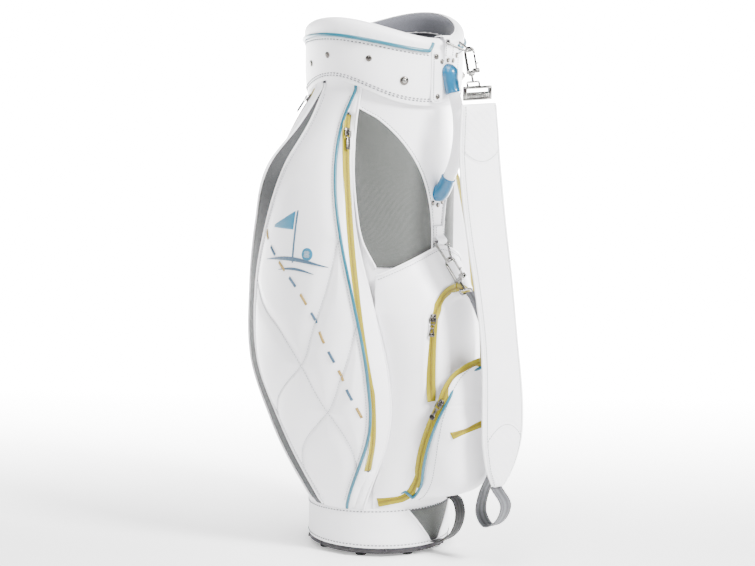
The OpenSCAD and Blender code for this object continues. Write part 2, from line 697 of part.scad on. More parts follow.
// ---------- shoulder strap ----------
pad_path = [[189, 727], [190.5, 690], [193, 640], [206, 545], [226, 437], [240, 338], [246, 262],
    [246, 190], [240, 128]];
pad_s = [0, 0.12, 0.3, 0.6, 0.85, 0.94, 1];
pad_k = [0.84, 0.98, 1, 0.9, 1, 0.72, 0.24];
pad_steps = 26;
module strap_pad() {
    p = [for (q = pad_path) [q[0], q[1], 0]];
    last = len(p) - 1;
    color(white) rings([for (i = [0 : pad_steps])
        let (t = i / pad_steps, u = last * t, c = along(p, u),
             d = unit(along(p, min(u + 0.05, last)) - along(p, max(u - 0.05, 0))),
             w = pad_w / 2 * smooth(pad_s, pad_k, t), out = [d.y, -d.x])
        [for (k = [[-1, 0.25], [-0.8, 1], [0, 1.15], [0.8, 1], [1, 0.25],
                   [1, -0.25], [0.8, -0.8], [0, -0.9], [-0.8, -0.8], [-1, -0.25]])
            let (r = c.x - k[1] * out.x * pad_t / 2, z = c.y - k[1] * out.y * pad_t / 2, x = k[0] * w)
            [x * cos(pad_turn), -r - x * sin(pad_turn), z]]]);
}

web_path = [[238, 124.5], [256, 101], [246, 74], [223, 62], [208, 82], [214, 116], [230, 150], [236, 200],
    [236, 262], [228.5, 330], [207, 388], [190, 420], [181, 431]];
module strap_webbing() color(dark_grey) strip(web_path, web_w, web_t, pad_turn / 2, 48);

module strap_clasp()
    color(steel) translate([0, -186, 732]) rotate([0, 0, -pad_turn]) difference() {
        translate([-28, -3, 0]) cube([56, 6, 22]);
        translate([-22, -4, 13]) cube([44, 8, 3.5]);
    }

base_tray();
base_feet();
base_band();
base_front_panel();
grab_loop();
bag_tube();
top_lining();
collar_band();
rim_cushion();
collar_piping();
front_shield();
collar_studs();
divider_frame();
divider_walls();
mirrored() side_pocket();  // side_pocket_left
side_pocket();  // side_pocket_right
mirrored() side_face();  // side_face_left
side_face();  // side_face_right
mirrored() side_band();  // side_band_left
side_band();  // side_band_right
zip_tape(side_zip_def, side_tilt, side_slack, side_slack);  // side_zip_left
mirrored() zip_tape(side_zip_def, side_tilt, side_slack, side_slack);  // side_zip_right
zip_tape(rear_zip_def, rear_tilt, slack, slack);  // rear_zip_left
mirrored() zip_tape(rear_zip_def, rear_tilt, slack, slack);  // rear_zip_right
mesh_panel();  // mesh_panel_left
mirrored() mesh_panel();  // mesh_panel_right
accessory_pocket();
ball_pocket();
zip_tape(accessory_def, front_tilt, slack, slack);  // accessory_zip
zip_tape(ball_def, front_tilt, slack, slack);  // ball_zip
zip_tape(valuables_def, front_tilt, valuables_park, slack);  // valuables_zip
handle_grip();
handle_sleeve_upper();
handle_sleeve_lower();
handle_rivets();
ring_tabs();
d_ring_upper();
d_ring_lower();
snap_hook_upper();
snap_hook_lower();
gate_upper();
gate_lower();
hook_swivels();
strap_clasp();
strap_pad();
strap_webbing();
slider_body(side_zip_def, side_tilt);  // side_slider_left
mirrored() slider_body(side_zip_def, side_tilt);  // side_slider_right
slider_body(rear_zip_def, rear_tilt);  // rear_slider_left
mirrored() slider_body(rear_zip_def, rear_tilt);  // rear_slider_right
slider_body(accessory_def, front_tilt);  // accessory_slider
slider_body(ball_def, front_tilt);  // ball_slider
slider_body(valuables_def, front_tilt, 90);  // valuables_slider
puller_body(side_zip_def, side_tilt);  // side_puller_left
mirrored() puller_body(side_zip_def, side_tilt);  // side_puller_right
puller_body(rear_zip_def, rear_tilt);  // rear_puller_left
mirrored() puller_body(rear_zip_def, rear_tilt);  // rear_puller_right
puller_body(accessory_def, front_tilt);  // accessory_puller
puller_body(ball_def, front_tilt);  // ball_puller
puller_body(valuables_def, front_tilt, 90);  // valuables_puller
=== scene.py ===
import json
import math

import bmesh
import bpy
import numpy as np
from mathutils import Matrix, Vector

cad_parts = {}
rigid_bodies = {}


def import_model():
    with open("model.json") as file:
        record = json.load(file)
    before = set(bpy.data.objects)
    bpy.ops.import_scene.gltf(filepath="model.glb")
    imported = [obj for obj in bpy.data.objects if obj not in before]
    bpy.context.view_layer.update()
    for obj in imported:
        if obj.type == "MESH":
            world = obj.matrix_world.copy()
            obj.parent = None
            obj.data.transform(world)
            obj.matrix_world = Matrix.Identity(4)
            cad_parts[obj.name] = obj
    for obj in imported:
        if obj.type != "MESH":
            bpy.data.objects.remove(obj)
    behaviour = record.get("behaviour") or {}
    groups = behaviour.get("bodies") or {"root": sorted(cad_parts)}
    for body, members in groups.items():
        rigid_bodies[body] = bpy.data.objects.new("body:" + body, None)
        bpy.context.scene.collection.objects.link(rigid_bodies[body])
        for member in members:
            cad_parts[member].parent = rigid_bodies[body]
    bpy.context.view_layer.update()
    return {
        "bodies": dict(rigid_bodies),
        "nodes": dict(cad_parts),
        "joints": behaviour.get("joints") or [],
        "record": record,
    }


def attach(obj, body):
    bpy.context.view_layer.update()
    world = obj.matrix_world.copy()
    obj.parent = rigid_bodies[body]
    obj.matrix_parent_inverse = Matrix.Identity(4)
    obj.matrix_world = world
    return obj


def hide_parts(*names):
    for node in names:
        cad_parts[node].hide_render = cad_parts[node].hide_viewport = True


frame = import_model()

# Golf staff bag. Pieces are laid out in millimetres and scaled to metres as they are finished.
# Places round the bag are polar: an angle from the front in degrees, a radius from the tube's
# axis and a height. The front of the bag faces -Y. What comes in pairs is laid out on the left,
# at negative angles, and mirrored to the right.
MM = 0.001
BAG = "bag"
SIDES = (("left", False), ("right", True))

TUBE_R = 112.0                      # club tube
BAND_R = 114.2                      # base band
COLLAR_R = 125.0                    # collar at its fullest
LIP_R = 107.0                       # inside of the padded rim
PIPE_R = 1.9                        # piping
RIM_LOW, RIM_RISE = 824.0, 32.0     # top of the rim at front and back, and its rise to the sides
SEAM_LOW, SEAM_ARC = 804.0, 325.0   # collar seam at front and back, and the radius it arches with
BAND_FOOT, POCKET_FOOT = 14.5, 76.0     # lower edges of the base band and of the front pocket
AWAY = (0.77, 0.63, 0)              # level, from the main camera past the bag


# ---------- curves ----------
def smooth(stations, values, x):
    """A smooth curve through values at rising stations, read at x; flat past both ends."""
    s = np.asarray(stations, float)
    v = np.asarray(values, float)
    x = np.asarray(x, float)
    slope = np.empty_like(v)
    slope[1:-1] = (v[2:] - v[:-2]) / (s[2:] - s[:-2])
    slope[0] = (v[1] - v[0]) / (s[1] - s[0])
    slope[-1] = (v[-1] - v[-2]) / (s[-1] - s[-2])
    i = np.clip(np.searchsorted(s, x, side="right") - 1, 0, len(s) - 2)
    h = s[i + 1] - s[i]
    t = np.clip((x - s[i]) / h, 0, 1)
    return ((2 * t**3 - 3 * t**2 + 1) * v[i] + (t**3 - 2 * t**2 + t) * h * slope[i]
            + (3 * t**2 - 2 * t**3) * v[i + 1] + (t**3 - t**2) * h * slope[i + 1])


def polar(angle, radius, height):
    """Points from an angle, a radius and a height, as rows."""
    a = np.radians(angle)
    parts = np.broadcast_arrays(radius * np.sin(a), -radius * np.cos(a), height)
    return np.stack(parts, -1)


def mix(a, b, t):
    """The value a share t of the way from a to b."""
    return a + (b - a) * t


def bump_at(distance, width):
    """1 at distance 0, fading to 0 over about twice the width."""
    return np.exp(-(distance / width) ** 2)


def circle_through(p, q, r):
    """Centre, axis, radius and swept angle of the arc from p through q to r."""
    p, q, r = (np.asarray(x, float) for x in (p, q, r))
    u, v = q - p, r - p
    n = np.cross(u, v)
    centre = p + (np.cross(n, u) * (v @ v) + np.cross(v, n) * (u @ u)) / (2 * (n @ n))
    axis = n / np.linalg.norm(n)
    start, end = p - centre, r - centre
    turn = math.atan2(end @ np.cross(axis, start), end @ start) % (2 * math.pi)
    return centre, axis, np.linalg.norm(start), turn


def on_arc(arc, start, turn):
    """The point reached from start after turning about the arc's axis."""
    centre, axis = arc[0], arc[1]
    x = np.asarray(start, float) - centre
    turn = np.asarray(turn, float)[..., None]
    return centre + x * np.cos(turn) + np.cross(axis, x) * np.sin(turn)


def lengths(path):
    """Distance along a path at each of its points."""
    return np.concatenate([[0], np.cumsum(np.linalg.norm(np.diff(path, axis=0), axis=1))])


def spline(points, count):
    """count points evenly along a smooth open path through points."""
    p = np.asarray(points, float)
    reach = lengths(p)
    s = np.linspace(0, reach[-1], count)
    return np.stack([smooth(reach, p[:, k], s) for k in range(p.shape[1])], -1)


def rows_at(table, reach, s):
    """Rows of a table, such as a path's points, read at distances s along it."""
    return np.stack([np.interp(s, reach, table[:, k]) for k in range(3)], -1)


def rounded(corners, radius, steps=6):
    """A closed path through corners with each one rounded off."""
    p = [np.asarray(c, float) for c in corners]
    made = []
    for k, corner in enumerate(p):
        a, b = p[k - 1] - corner, p[(k + 1) % len(p)] - corner
        start = corner + a / np.linalg.norm(a) * radius
        end = corner + b / np.linalg.norm(b) * radius
        for t in np.linspace(0, 1, steps):
            made.append((1 - t) ** 2 * start + 2 * t * (1 - t) * corner + t**2 * end)
    return np.array(made)


def path_frames(path, out):
    """Tangents, outward normals and sideways directions along a path."""
    d = np.gradient(path, axis=0)
    d /= np.linalg.norm(d, axis=1)[:, None]
    out = out - d * (out * d).sum(1)[:, None]
    out /= np.linalg.norm(out, axis=1)[:, None]
    return d, out, np.cross(d, out)


# ---------- materials ----------
def linear(code):
    """Linear RGBA of an sRGB hex colour."""
    parts = [int(code[i:i + 2], 16) / 255 for i in (1, 3, 5)]
    return [c / 12.92 if c <= 0.04045 else ((c + 0.055) / 1.055) ** 2.4 for c in parts] + [1.0]


def add(tree, kind, settings=None, links=None):
    """Adds a node, sets its properties or sockets, and links sockets to other nodes' outputs."""
    node = tree.nodes.new(kind)
    for key, value in (settings or {}).items():
        if isinstance(key, str) and hasattr(node, key):
            setattr(node, key, value)
        else:
            node.inputs[key].default_value = value
    for key, source in (links or {}).items():
        tree.links.new(source, node.inputs[key])
    return node


def start_material(name, settings):
    """A material with a Principled shader set as given: (material, tree, shader)."""
    made = bpy.data.materials.new(name)
    made.use_nodes = True
    tree = made.node_tree
    shader = tree.nodes["Principled BSDF"]
    for key, value in settings.items():
        shader.inputs[key].default_value = value
    return made, tree, shader


def tinted(tree, shader, factor, low, high):
    """Base colour that runs from one hex colour to another with a factor."""
    ramp = add(tree, "ShaderNodeMix", {"data_type": "RGBA", 6: linear(low), 7: linear(high)},
               {0: factor})
    tree.links.new(ramp.outputs[2], shader.inputs["Base Color"])


def roughened(tree, shader, factor, low, high):
    """Roughness that runs from low to high with a factor."""
    spread = add(tree, "ShaderNodeMapRange", {"To Min": low, "To Max": high}, {"Value": factor})
    tree.links.new(spread.outputs[0], shader.inputs["Roughness"])


def bumped(tree, shader, layers):
    """Bump from (height output, depth in mm, strength) layers, the coarsest first."""
    normal = None
    for height, depth, strength in layers:
        links = {"Height": height}
        if normal is not None:
            links["Normal"] = normal
        node = add(tree, "ShaderNodeBump", {"Strength": strength, "Distance": depth * MM}, links)
        normal = node.outputs[0]
    tree.links.new(normal, shader.inputs["Normal"])


def cell(tree, where, size_mm):
    """Rounded cells of a real size."""
    node = add(tree, "ShaderNodeTexVoronoi", {"Scale": 1 / (size_mm * MM)}, {"Vector": where})
    return node.outputs["Distance"]


def cloud(tree, where, size_mm, detail=3):
    """Noise whose patches have a real size."""
    node = add(tree, "ShaderNodeTexNoise", {"Scale": 1 / (size_mm * MM), "Detail": detail},
               {"Vector": where})
    return node.outputs["Fac"]


def bands(tree, where, pitch_mm, axis):
    """Stripes with a real pitch, running across an axis."""
    node = add(tree, "ShaderNodeTexWave",
               {"wave_type": "BANDS", "bands_direction": axis, "wave_profile": "SIN",
                "Scale": math.pi / (10 * pitch_mm * MM)}, {"Vector": where})
    return node.outputs["Fac"]


def place_of(tree, kind="Object"):
    """Object coordinates, or the flat size in metres that a piece's UV map holds."""
    return add(tree, "ShaderNodeTexCoord").outputs[kind]


def leatherette(name, low, high, grain_mm=1.3, rough=(0.40, 0.50), coat=0.12):
    """Coated PU leatherette, embossed: a fine pebble grain, a soft sheen and slight shading."""
    made, tree, shader = start_material(name, {"IOR": 1.46, "Coat Weight": coat,
                                               "Coat Roughness": 0.35})
    where = place_of(tree)
    patches = cloud(tree, where, 45, 4)
    tinted(tree, shader, patches, low, high)
    roughened(tree, shader, cloud(tree, where, 12), *rough)
    bumped(tree, shader, [(cloud(tree, where, 9, 2), 0.35, 0.20),
                          (cell(tree, where, grain_mm), 0.10, 0.34)])
    return made


def woven(name, low, high, across_mm, along_mm, depth=0.25, rough=0.85):
    """Woven or knitted cloth: two crossing sets of threads with gaps that look darker."""
    made, tree, shader = start_material(name, {"Roughness": rough, "Sheen Weight": 0.2,
                                               "Specular IOR Level": 0.3})
    where = place_of(tree, "UV")
    warp = bands(tree, where, across_mm, "X")
    weft = bands(tree, where, along_mm, "Y")
    both = add(tree, "ShaderNodeMath", {"operation": "MULTIPLY"}, {0: warp, 1: weft}).outputs[0]
    uneven = add(tree, "ShaderNodeMath", {"operation": "MULTIPLY_ADD", 2: -0.12},
                 {0: cloud(tree, where, 5, 2), 1: both})
    fuller = add(tree, "ShaderNodeMath", {"operation": "ADD", "use_clamp": True},
                 {0: uneven.outputs[0], 1: both}).outputs[0]
    tinted(tree, shader, fuller, low, high)
    bumped(tree, shader, [(both, depth, 0.7)])
    return made


def moulded(name, low, high, rough=(0.42, 0.55), grain_mm=0.8, depth=0.05, coat=0.0):
    """Moulded plastic or rubber with a fine spark-eroded grain."""
    made, tree, shader = start_material(name, {"IOR": 1.5, "Coat Weight": coat})
    where = place_of(tree)
    tinted(tree, shader, cloud(tree, where, 18), low, high)
    roughened(tree, shader, cloud(tree, where, 6), *rough)
    bumped(tree, shader, [(cloud(tree, where, grain_mm, 2), depth, 0.5)])
    return made


def plated(name, low, high, rough=(0.10, 0.24), wear_mm=14):
    """Plated die casting: bright metal, with faint smears and polishing marks."""
    made, tree, shader = start_material(name, {"Metallic": 1.0})
    where = place_of(tree)
    smear = cloud(tree, where, wear_mm, 5)
    tinted(tree, shader, smear, low, high)
    roughened(tree, shader, smear, *rough)
    bumped(tree, shader, [(cloud(tree, where, 1.2, 2), 0.03, 0.35)])
    return made


def threaded(name, low, high, twist_mm=0.9):
    """Twisted polyester sewing thread with a slight lustre."""
    made, tree, shader = start_material(name, {"Roughness": 0.55, "Sheen Weight": 0.3})
    where = place_of(tree)
    twist = bands(tree, where, twist_mm, "DIAGONAL")
    tinted(tree, shader, twist, low, high)
    bumped(tree, shader, [(twist, 0.12, 0.6)])
    return made


WHITE_PU = leatherette("white_pu_leatherette_embossed", "#ECEBEE", "#F6F5F7")
WHITE_SMOOTH = leatherette("white_pu_leatherette_smooth", "#EEEDF0", "#F7F6F8", 0.9,
                           (0.33, 0.42), 0.2)
PANEL_MESH = woven("grey_polyester_spacer_mesh", "#3A3C3A", "#6F716E", 1.7, 1.15, 0.3)
BAND_MESH = woven("dark_grey_polyester_mesh", "#343536", "#646566", 1.5, 1.1, 0.25)
ZIP_TAPE = woven("yellow_woven_zip_tape", "#827600", "#A39604", 0.9, 0.9, 0.12, 0.7)
ZIP_COIL = moulded("ochre_nylon_zip_coil", "#665600", "#857003", (0.35, 0.5))
CYAN_PIPING = leatherette("cyan_pvc_piping_extruded", "#004A5C", "#00687C", 1.6, (0.28, 0.38), 0.4)
CYAN_SLEEVE = moulded("cyan_abs_socket_moulded", "#004E70", "#006088", (0.25, 0.36), 1.2, 0.03, 0.3)
GREY_WEBBING = woven("grey_polypropylene_webbing", "#47484B", "#6F7074", 1.9, 1.3, 0.4, 0.7)
BLACK_WEBBING = woven("black_polypropylene_webbing", "#060607", "#18171A", 1.9, 1.3, 0.4, 0.7)
LINING = woven("grey_nylon_lining_plain_weave", "#505158", "#77787F", 1.0, 1.0, 0.12)
BASE_ABS = moulded("black_polypropylene_base_moulded", "#131016", "#1E1B20", (0.45, 0.6))
FOOT_RUBBER = moulded("black_rubber_foot_moulded", "#100F11", "#1A191B", (0.7, 0.85))
NICKEL = plated("nickel_plated_zinc_polished", "#7C7A77", "#ACABA8")
DARK_NICKEL = plated("black_nickel_zinc_burnished", "#4A4744", "#77736E", (0.18, 0.36), 5)
# White thread given a grey tone: the grey is painted shade, for the stitches sunk in the quilting
# seams.
WHITE_THREAD = threaded("white_polyester_thread", "#96979D", "#BDBEC4")
# Stitch thread coloured dark grey as painted shade of the stitch holes and grooves that the thread
# lies in.
PAINTED_SHADE_THREAD = threaded("grey_thread_painted_stitch_shade", "#3C3D42", "#5E5F66")
GOLD_THREAD = threaded("gold_rayon_embroidery_thread", "#7C6224", "#A68B46")
SLATE_THREAD = threaded("slate_rayon_embroidery_thread", "#1E3A50", "#3F6078")
CYAN_THREAD = threaded("cyan_rayon_embroidery_thread", "#004F70", "#0F7C9C")


# ---------- making pieces ----------
def finished(name, bm, finish, slot=None, body=BAG, replaces=(), shade=True, frame=None,
             mirror=False):
    """Turns a bmesh in millimetres into a piece of the bag that rides on a body.

    frame is a matrix from the piece's own axes to the bag's."""
    if frame is not None:
        bm.transform(frame)
    if mirror:
        bmesh.ops.scale(bm, vec=(-1, 1, 1), verts=bm.verts)
        bmesh.ops.reverse_faces(bm, faces=bm.faces)
    bmesh.ops.scale(bm, vec=(MM, MM, MM), verts=bm.verts)
    mesh = bpy.data.meshes.new(name)
    for face in bm.faces:
        face.smooth = shade
    bm.to_mesh(mesh)
    bm.free()
    mesh.materials.append(finish)
    piece = bpy.data.objects.new(name, mesh)
    bpy.context.collection.objects.link(piece)
    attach(piece, body)
    if replaces:
        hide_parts(*replaces)
    return piece


def mapped(bm, place, across, along, size=(1.0, 1.0), wrap=False, away=None):
    """Adds a grid laid out by place(u, v), which takes numpy rows from 0 to 1 and gives points.

    size is the flat size for the UV map. wrap joins edges that meet. The faces look away from the
    bag's axis or, when away is a function of (u, v), away from the points that it gives."""
    flat = bm.loops.layers.uv.verify()
    made = bmesh.ops.create_grid(bm, x_segments=across, y_segments=along, size=0.5)["verts"]
    u = np.array([v.co.x + 0.5 for v in made])
    w = np.array([v.co.y + 0.5 for v in made])
    spot = place(u, w)
    centre = spot * (0, 0, 1) if away is None else away(u, w)
    inward = {}
    for k, vert in enumerate(made):
        vert.co = spot[k]
        inward[vert] = (Vector(centre[k]), u[k] * size[0] * MM, w[k] * size[1] * MM)
    faces = {f for v in made for f in v.link_faces}
    for face in faces:
        for loop in face.loops:
            loop[flat].uv = inward[loop.vert][1:]
    bm.normal_update()
    tally = sum((f.calc_center_median() - inward[f.verts[0]][0]).dot(f.normal) * f.calc_area()
                for f in faces)
    if tally < 0:
        bmesh.ops.reverse_faces(bm, faces=list(faces))
    if wrap:
        bmesh.ops.remove_doubles(bm, verts=made, dist=1e-3)
        ends = [e for e in bm.edges if e.is_boundary]
        if ends and wrap == "capped":
            bmesh.ops.holes_fill(bm, edges=ends, sides=0)
    return faces


def panel(name, place, across, along, finish, thick=1.6, **more):
    """A sewn panel: a mapped sheet given a thickness towards its inside."""
    keep = {k: more.pop(k) for k in ("slot", "body", "replaces", "mirror", "frame") if k in more}
    bm = bmesh.new()
    mapped(bm, place, across, along, **more)
    piece = finished(name, bm, finish, **keep)
    wall = piece.modifiers.new("wall", "SOLIDIFY")
    wall.thickness = thick * MM
    wall.offset = -1
    return piece


def add_rod(bm, path, radius, sides=10, loop=False):
    """A round rod along a path, with flat ends, or closed into a loop."""
    path = np.asarray(path, float)
    ahead = np.roll(path, -1, 0) - np.roll(path, 1, 0) if loop else np.gradient(path, axis=0)
    ahead /= np.linalg.norm(ahead, axis=1)[:, None]
    side = np.cross(ahead[0], (0.0, 0.0, 1.0))
    if np.linalg.norm(side) < 0.3:
        side = np.cross(ahead[0], (1.0, 0.0, 0.0))
    turned = []
    for d in ahead:
        side = side - d * (side @ d)
        side = side / np.linalg.norm(side)
        turned.append(side)
    turned = np.array(turned)
    up = np.cross(ahead, turned)
    g = 2 * np.pi * np.arange(sides + 1)[None, :, None] / sides
    reach = np.broadcast_to(radius, len(path))[:, None, None]
    rings = path[:, None] + (turned[:, None] * np.cos(g) + up[:, None] * np.sin(g)) * reach
    if loop:
        rings = np.concatenate([rings, rings[:1]])
    last = len(rings) - 1
    made = bmesh.ops.create_grid(bm, x_segments=sides, y_segments=last, size=0.5)["verts"]
    for vert in made:
        vert.co = rings[round((vert.co.y + 0.5) * last), round((vert.co.x + 0.5) * sides)]
    bmesh.ops.remove_doubles(bm, verts=made, dist=1e-3)
    if not loop:
        ends = {e for v in made if v.is_valid for e in v.link_edges if e.is_boundary}
        bmesh.ops.holes_fill(bm, edges=list(ends), sides=0)
    return bm


def rods(name, paths, radius, finish, sides=10, loop=False, **more):
    """One piece made of round rods, such as piping."""
    bm = bmesh.new()
    for path in paths:
        add_rod(bm, path, radius, sides, loop)
    bmesh.ops.recalc_face_normals(bm, faces=bm.faces)
    return finished(name, bm, finish, **more)


def add_beads(bm, places):
    """A few-sided bead at each place, a matrix that also gives its shape."""
    seed = bmesh.new()
    bmesh.ops.create_uvsphere(seed, u_segments=6, v_segments=4, radius=1)
    seed.verts.index_update()
    for place in places:
        twin = [bm.verts.new(place @ v.co) for v in seed.verts]
        for face in seed.faces:
            bm.faces.new([twin[v.index] for v in face.verts])
    seed.free()


def add_stitches(bm, path, out, pitch=4.6, length=3.4, thick=1.2, lift=0.3):
    """Sewing stitches laid end to end along a path, each a small bead of thread."""
    reach = lengths(path)
    count = max(int(reach[-1] / pitch), 1)
    at = (np.arange(count) + 0.5) * reach[-1] / count
    ahead = rows_at(path, reach, at + pitch * 0.3) - rows_at(path, reach, at - pitch * 0.3)
    beads = []
    for spot, o, d in zip(rows_at(path, reach, at), rows_at(out, reach, at), ahead):
        x = Vector(d).normalized()
        z = (Vector(o) - x * x.dot(Vector(o))).normalized()
        turn = Matrix((x, z.cross(x), z)).transposed().to_4x4()
        where = Matrix.Translation(Vector(spot) + z * lift) @ turn
        shape = Matrix.Diagonal((length / 2, thick / 2, thick / 2, 1))
        beads.append(where @ shape @ Matrix.Rotation(math.pi / 2, 4, "Y"))
    add_beads(bm, beads)


def stitches(name, rows, finish, body=BAG, mirror=False, **more):
    """One piece holding rows of stitches; each row is (path, outward directions)."""
    bm = bmesh.new()
    for path, out in rows:
        add_stitches(bm, path, out, **more)
    return finished(name, bm, finish, body=body, mirror=mirror)


def radial(path):
    """Directions straight out from the bag's axis along a path."""
    out = path * (1, 1, 0)
    return out / np.linalg.norm(out, axis=1)[:, None]


def add_stud(bm, spot, out, radius, height=2.2, dimple=0.3):
    """A domed stud head with a rolled edge, spun about its own axis."""
    out = Vector(out).normalized()
    side = out.orthogonal().normalized()
    outline = [(0, height * 0.86), (radius * dimple, height), (radius * 0.62, height * 0.94),
               (radius * 0.88, height * 0.62), (radius, height * 0.3), (radius * 0.97, -0.4)]
    verts = [bm.verts.new(Vector(spot) + side * r + out * h) for r, h in outline]
    edges = [bm.edges.new(pair) for pair in zip(verts, verts[1:])]
    bmesh.ops.spin(bm, geom=verts + edges, cent=spot, axis=out, angle=2 * math.pi,
                   steps=20, use_merge=True)
    return bm


def studs(name, places, finish, **more):
    """A group of studs; each place is (spot, outward direction, radius)."""
    bm = bmesh.new()
    for spot, out, radius in places:
        add_stud(bm, spot, out, radius)
    bmesh.ops.remove_doubles(bm, verts=bm.verts, dist=1e-3)
    bmesh.ops.recalc_face_normals(bm, faces=bm.faces)
    return finished(name, bm, finish, **more)


def at_wall(angle, radius, height):
    """(spot, outward direction) on an upright wall of that radius."""
    spot = polar(angle, radius, height)
    return spot, spot * (1, 1, 0)


def catmull(corners, u, loop=False):
    """A smooth curve through corners, each a row per value of u, read at u from 0 to 1."""
    p = np.stack(np.broadcast_arrays(*corners))
    n = len(p)
    x = np.clip(u, 0, 1) * (n if loop else n - 1)
    i = np.floor(x).astype(int) % n if loop else np.minimum(np.floor(x).astype(int), n - 2)
    t = (x - (np.floor(x) if loop else i))[:, None]
    rows = np.arange(len(i))
    a, b, c, d = (p[(i + k) % n if loop else np.clip(i + k, 0, n - 1), rows] for k in (-1, 0, 1, 2))
    return 0.5 * (2 * b + (c - a) * t + (2 * a - 5 * b + 4 * c - d) * t**2
                  + (3 * b - a - 3 * c + d) * t**3)


def add_lathe(bm, outline, steps=128, centre=(0, 0)):
    """Spins an outline of (radius, height) about an upright axis."""
    verts = [bm.verts.new((centre[0] + r, centre[1], z)) for r, z in outline]
    edges = [bm.edges.new(pair) for pair in zip(verts, verts[1:])]
    bmesh.ops.spin(bm, geom=verts + edges, cent=(*centre, 0), axis=(0, 0, 1),
                   angle=2 * math.pi, steps=steps, use_merge=True)


def add_block(bm, low, high, bevel=0.5):
    """A box with rounded edges between two corners."""
    made = bmesh.ops.create_cube(bm, size=1)["verts"]
    bmesh.ops.scale(bm, vec=np.subtract(high, low), verts=made)
    bmesh.ops.translate(bm, vec=np.add(high, low) / 2, verts=made)
    edges = list({e for v in made for e in v.link_edges})
    bmesh.ops.bevel(bm, geom=edges, offset=bevel, segments=2, affect="EDGES", profile=0.5,
                    material=-1)


def tidy(bm):
    """Merges coincident points and turns every face outwards."""
    bmesh.ops.remove_doubles(bm, verts=bm.verts, dist=1e-3)
    bmesh.ops.recalc_face_normals(bm, faces=bm.faces)
    return bm


def distance_to(points, paths):
    """Distance from each point to the nearest of some paths."""
    best = np.full(len(points), 1e9)
    for path in paths:
        for p, q in zip(path[:-1], path[1:]):
            d = q - p
            t = np.clip(((points - p) @ d) / (d @ d), 0, 1)[:, None]
            best = np.minimum(best, np.linalg.norm(points - p - t * d, axis=1))
    return best


# ---------- rim, collar and base lines ----------
def rim_z(a):
    """Height of the rim's top: low at front and back, high at the sides."""
    return RIM_LOW + RIM_RISE * np.sin(np.radians(a)) ** 2


def seam_z(a, r):
    """The arched seam between collar and rim, at an angle and a radius."""
    return SEAM_LOW + SEAM_ARC - np.sqrt(SEAM_ARC**2 - (r * np.sin(np.radians(a))) ** 2)


def hem_z(a):
    """The collar's lower edge, a soft wave that drops at front and back."""
    return 735.3 - 19.5 * np.cos(np.radians(2 * a)) + 4.25 * np.cos(np.radians(4 * a))


def band_top(a):
    """The base band's top edge, a little higher at the front."""
    return 77 + BAND_R * math.tan(math.radians(2.5)) * np.cos(np.radians(a))


def collar_r(a, z):
    """The collar's radius: drawn in at the hem and at its top seam."""
    up = np.clip((z - hem_z(a)) / 46, 0, 1)
    down = seam_z(a, COLLAR_R) - z
    sewn = bump_at(z - hem_z(a) - 7, 1.3) + bump_at(down - 7, 1.3)
    return 120.8 + 4.4 * (1 - (1 - up) ** 2.2) - 0.9 * bump_at(down, 4) - 0.45 * sewn


TURN = np.linspace(0, 360, 361)

panel("club_tube", lambda u, v: polar(360 * u, TUBE_R, mix(20, seam_z(360 * u, TUBE_R) - 1, v)),
      192, 30, WHITE_SMOOTH, 3, wrap=True, size=(704, 800), slot="white_leatherette",
      replaces=["bag_tube"])


def collar_place(u, v):
    a = 360 * u
    z = mix(hem_z(a), seam_z(a, COLLAR_R) + 0.6, v)
    return polar(a, collar_r(a, z), z)


panel("stiff_collar", collar_place, 288, 90, WHITE_PU, 7, wrap=True, size=(785, 90),
      slot="white_leatherette", replaces=["collar_band"])


def collar_row(a, lift, top):
    z = seam_z(a, COLLAR_R) - lift if top else hem_z(a) + lift
    path = polar(a, collar_r(a, z), z)
    return path, radial(path)


BACK_ROUND = np.linspace(17, 343, 330)
stitches("collar_stitches", [collar_row(TURN, 7, False), collar_row(TURN, 10.5, False),
                             collar_row(BACK_ROUND, 7, True)], PAINTED_SHADE_THREAD,
         pitch=6.5, length=4.6, thick=1.9, lift=0.6)


def cushion_place(u, v):
    a = 360 * v
    top = rim_z(a)
    low = seam_z(a, COLLAR_R)
    inner = seam_z(a, LIP_R)
    pucker = 0.25 * np.sin(np.radians(a) * 46) + 0.15 * np.sin(np.radians(a) * 71)
    corners = [(125.0 + 0 * a, low), (126.4 + pucker, low + 5), (126.3 + 0 * a, mix(low, top, 0.6)),
               (123.0 + 0 * a, top - 3), (116.0 + 0 * a, top), (109.6 + 0 * a, top - 3.4),
               (106.6 + 0 * a, top - 12), (106.3 + pucker, inner + 5), (107.2 + 0 * a, inner)]
    rz = catmull([np.stack(c, -1) for c in corners], u, loop=True)
    return polar(a, rz[:, 0], rz[:, 1])


bm = bmesh.new()
mapped(bm, cushion_place, 54, 300, size=(80, 730), wrap=True,
       away=lambda u, v: polar(360 * v, 116, rim_z(360 * v) - 12))
finished("rim_cushion_padded", bm, WHITE_PU, slot="white_leatherette",
                   replaces=["rim_cushion"])

SHIELD_END = 14.2                   # where the piping starts and ends beside the shield, in degrees
piping_turn = np.linspace(SHIELD_END, 360 - SHIELD_END, 400)
curl = np.clip(1 - (np.minimum(piping_turn, 360 - piping_turn) - SHIELD_END) / 4.5, 0, 1)
piping = polar(piping_turn, 127.6 - 1.6 * curl, seam_z(piping_turn, COLLAR_R) + 13 * curl**2)
rods("collar_piping_cyan", [piping], 3.0, CYAN_PIPING, 12, slot="cyan_trim",
     replaces=["collar_piping"])


def lip_place(u, v):
    """The dark lining turned up over the inner half of the cushion."""
    a = 360 * v
    top = rim_z(a)
    inner = seam_z(a, LIP_R)
    corners = [(111.2 + 0 * a, top - 1.6), (108.6 + 0 * a, top - 4.4), (105.7 + 0 * a, top - 12),
               (105.3 + 0 * a, inner + 5), (106.6 + 0 * a, inner - 2)]
    rz = catmull([np.stack(c, -1) for c in corners], u)
    return polar(a, rz[:, 0], rz[:, 1])


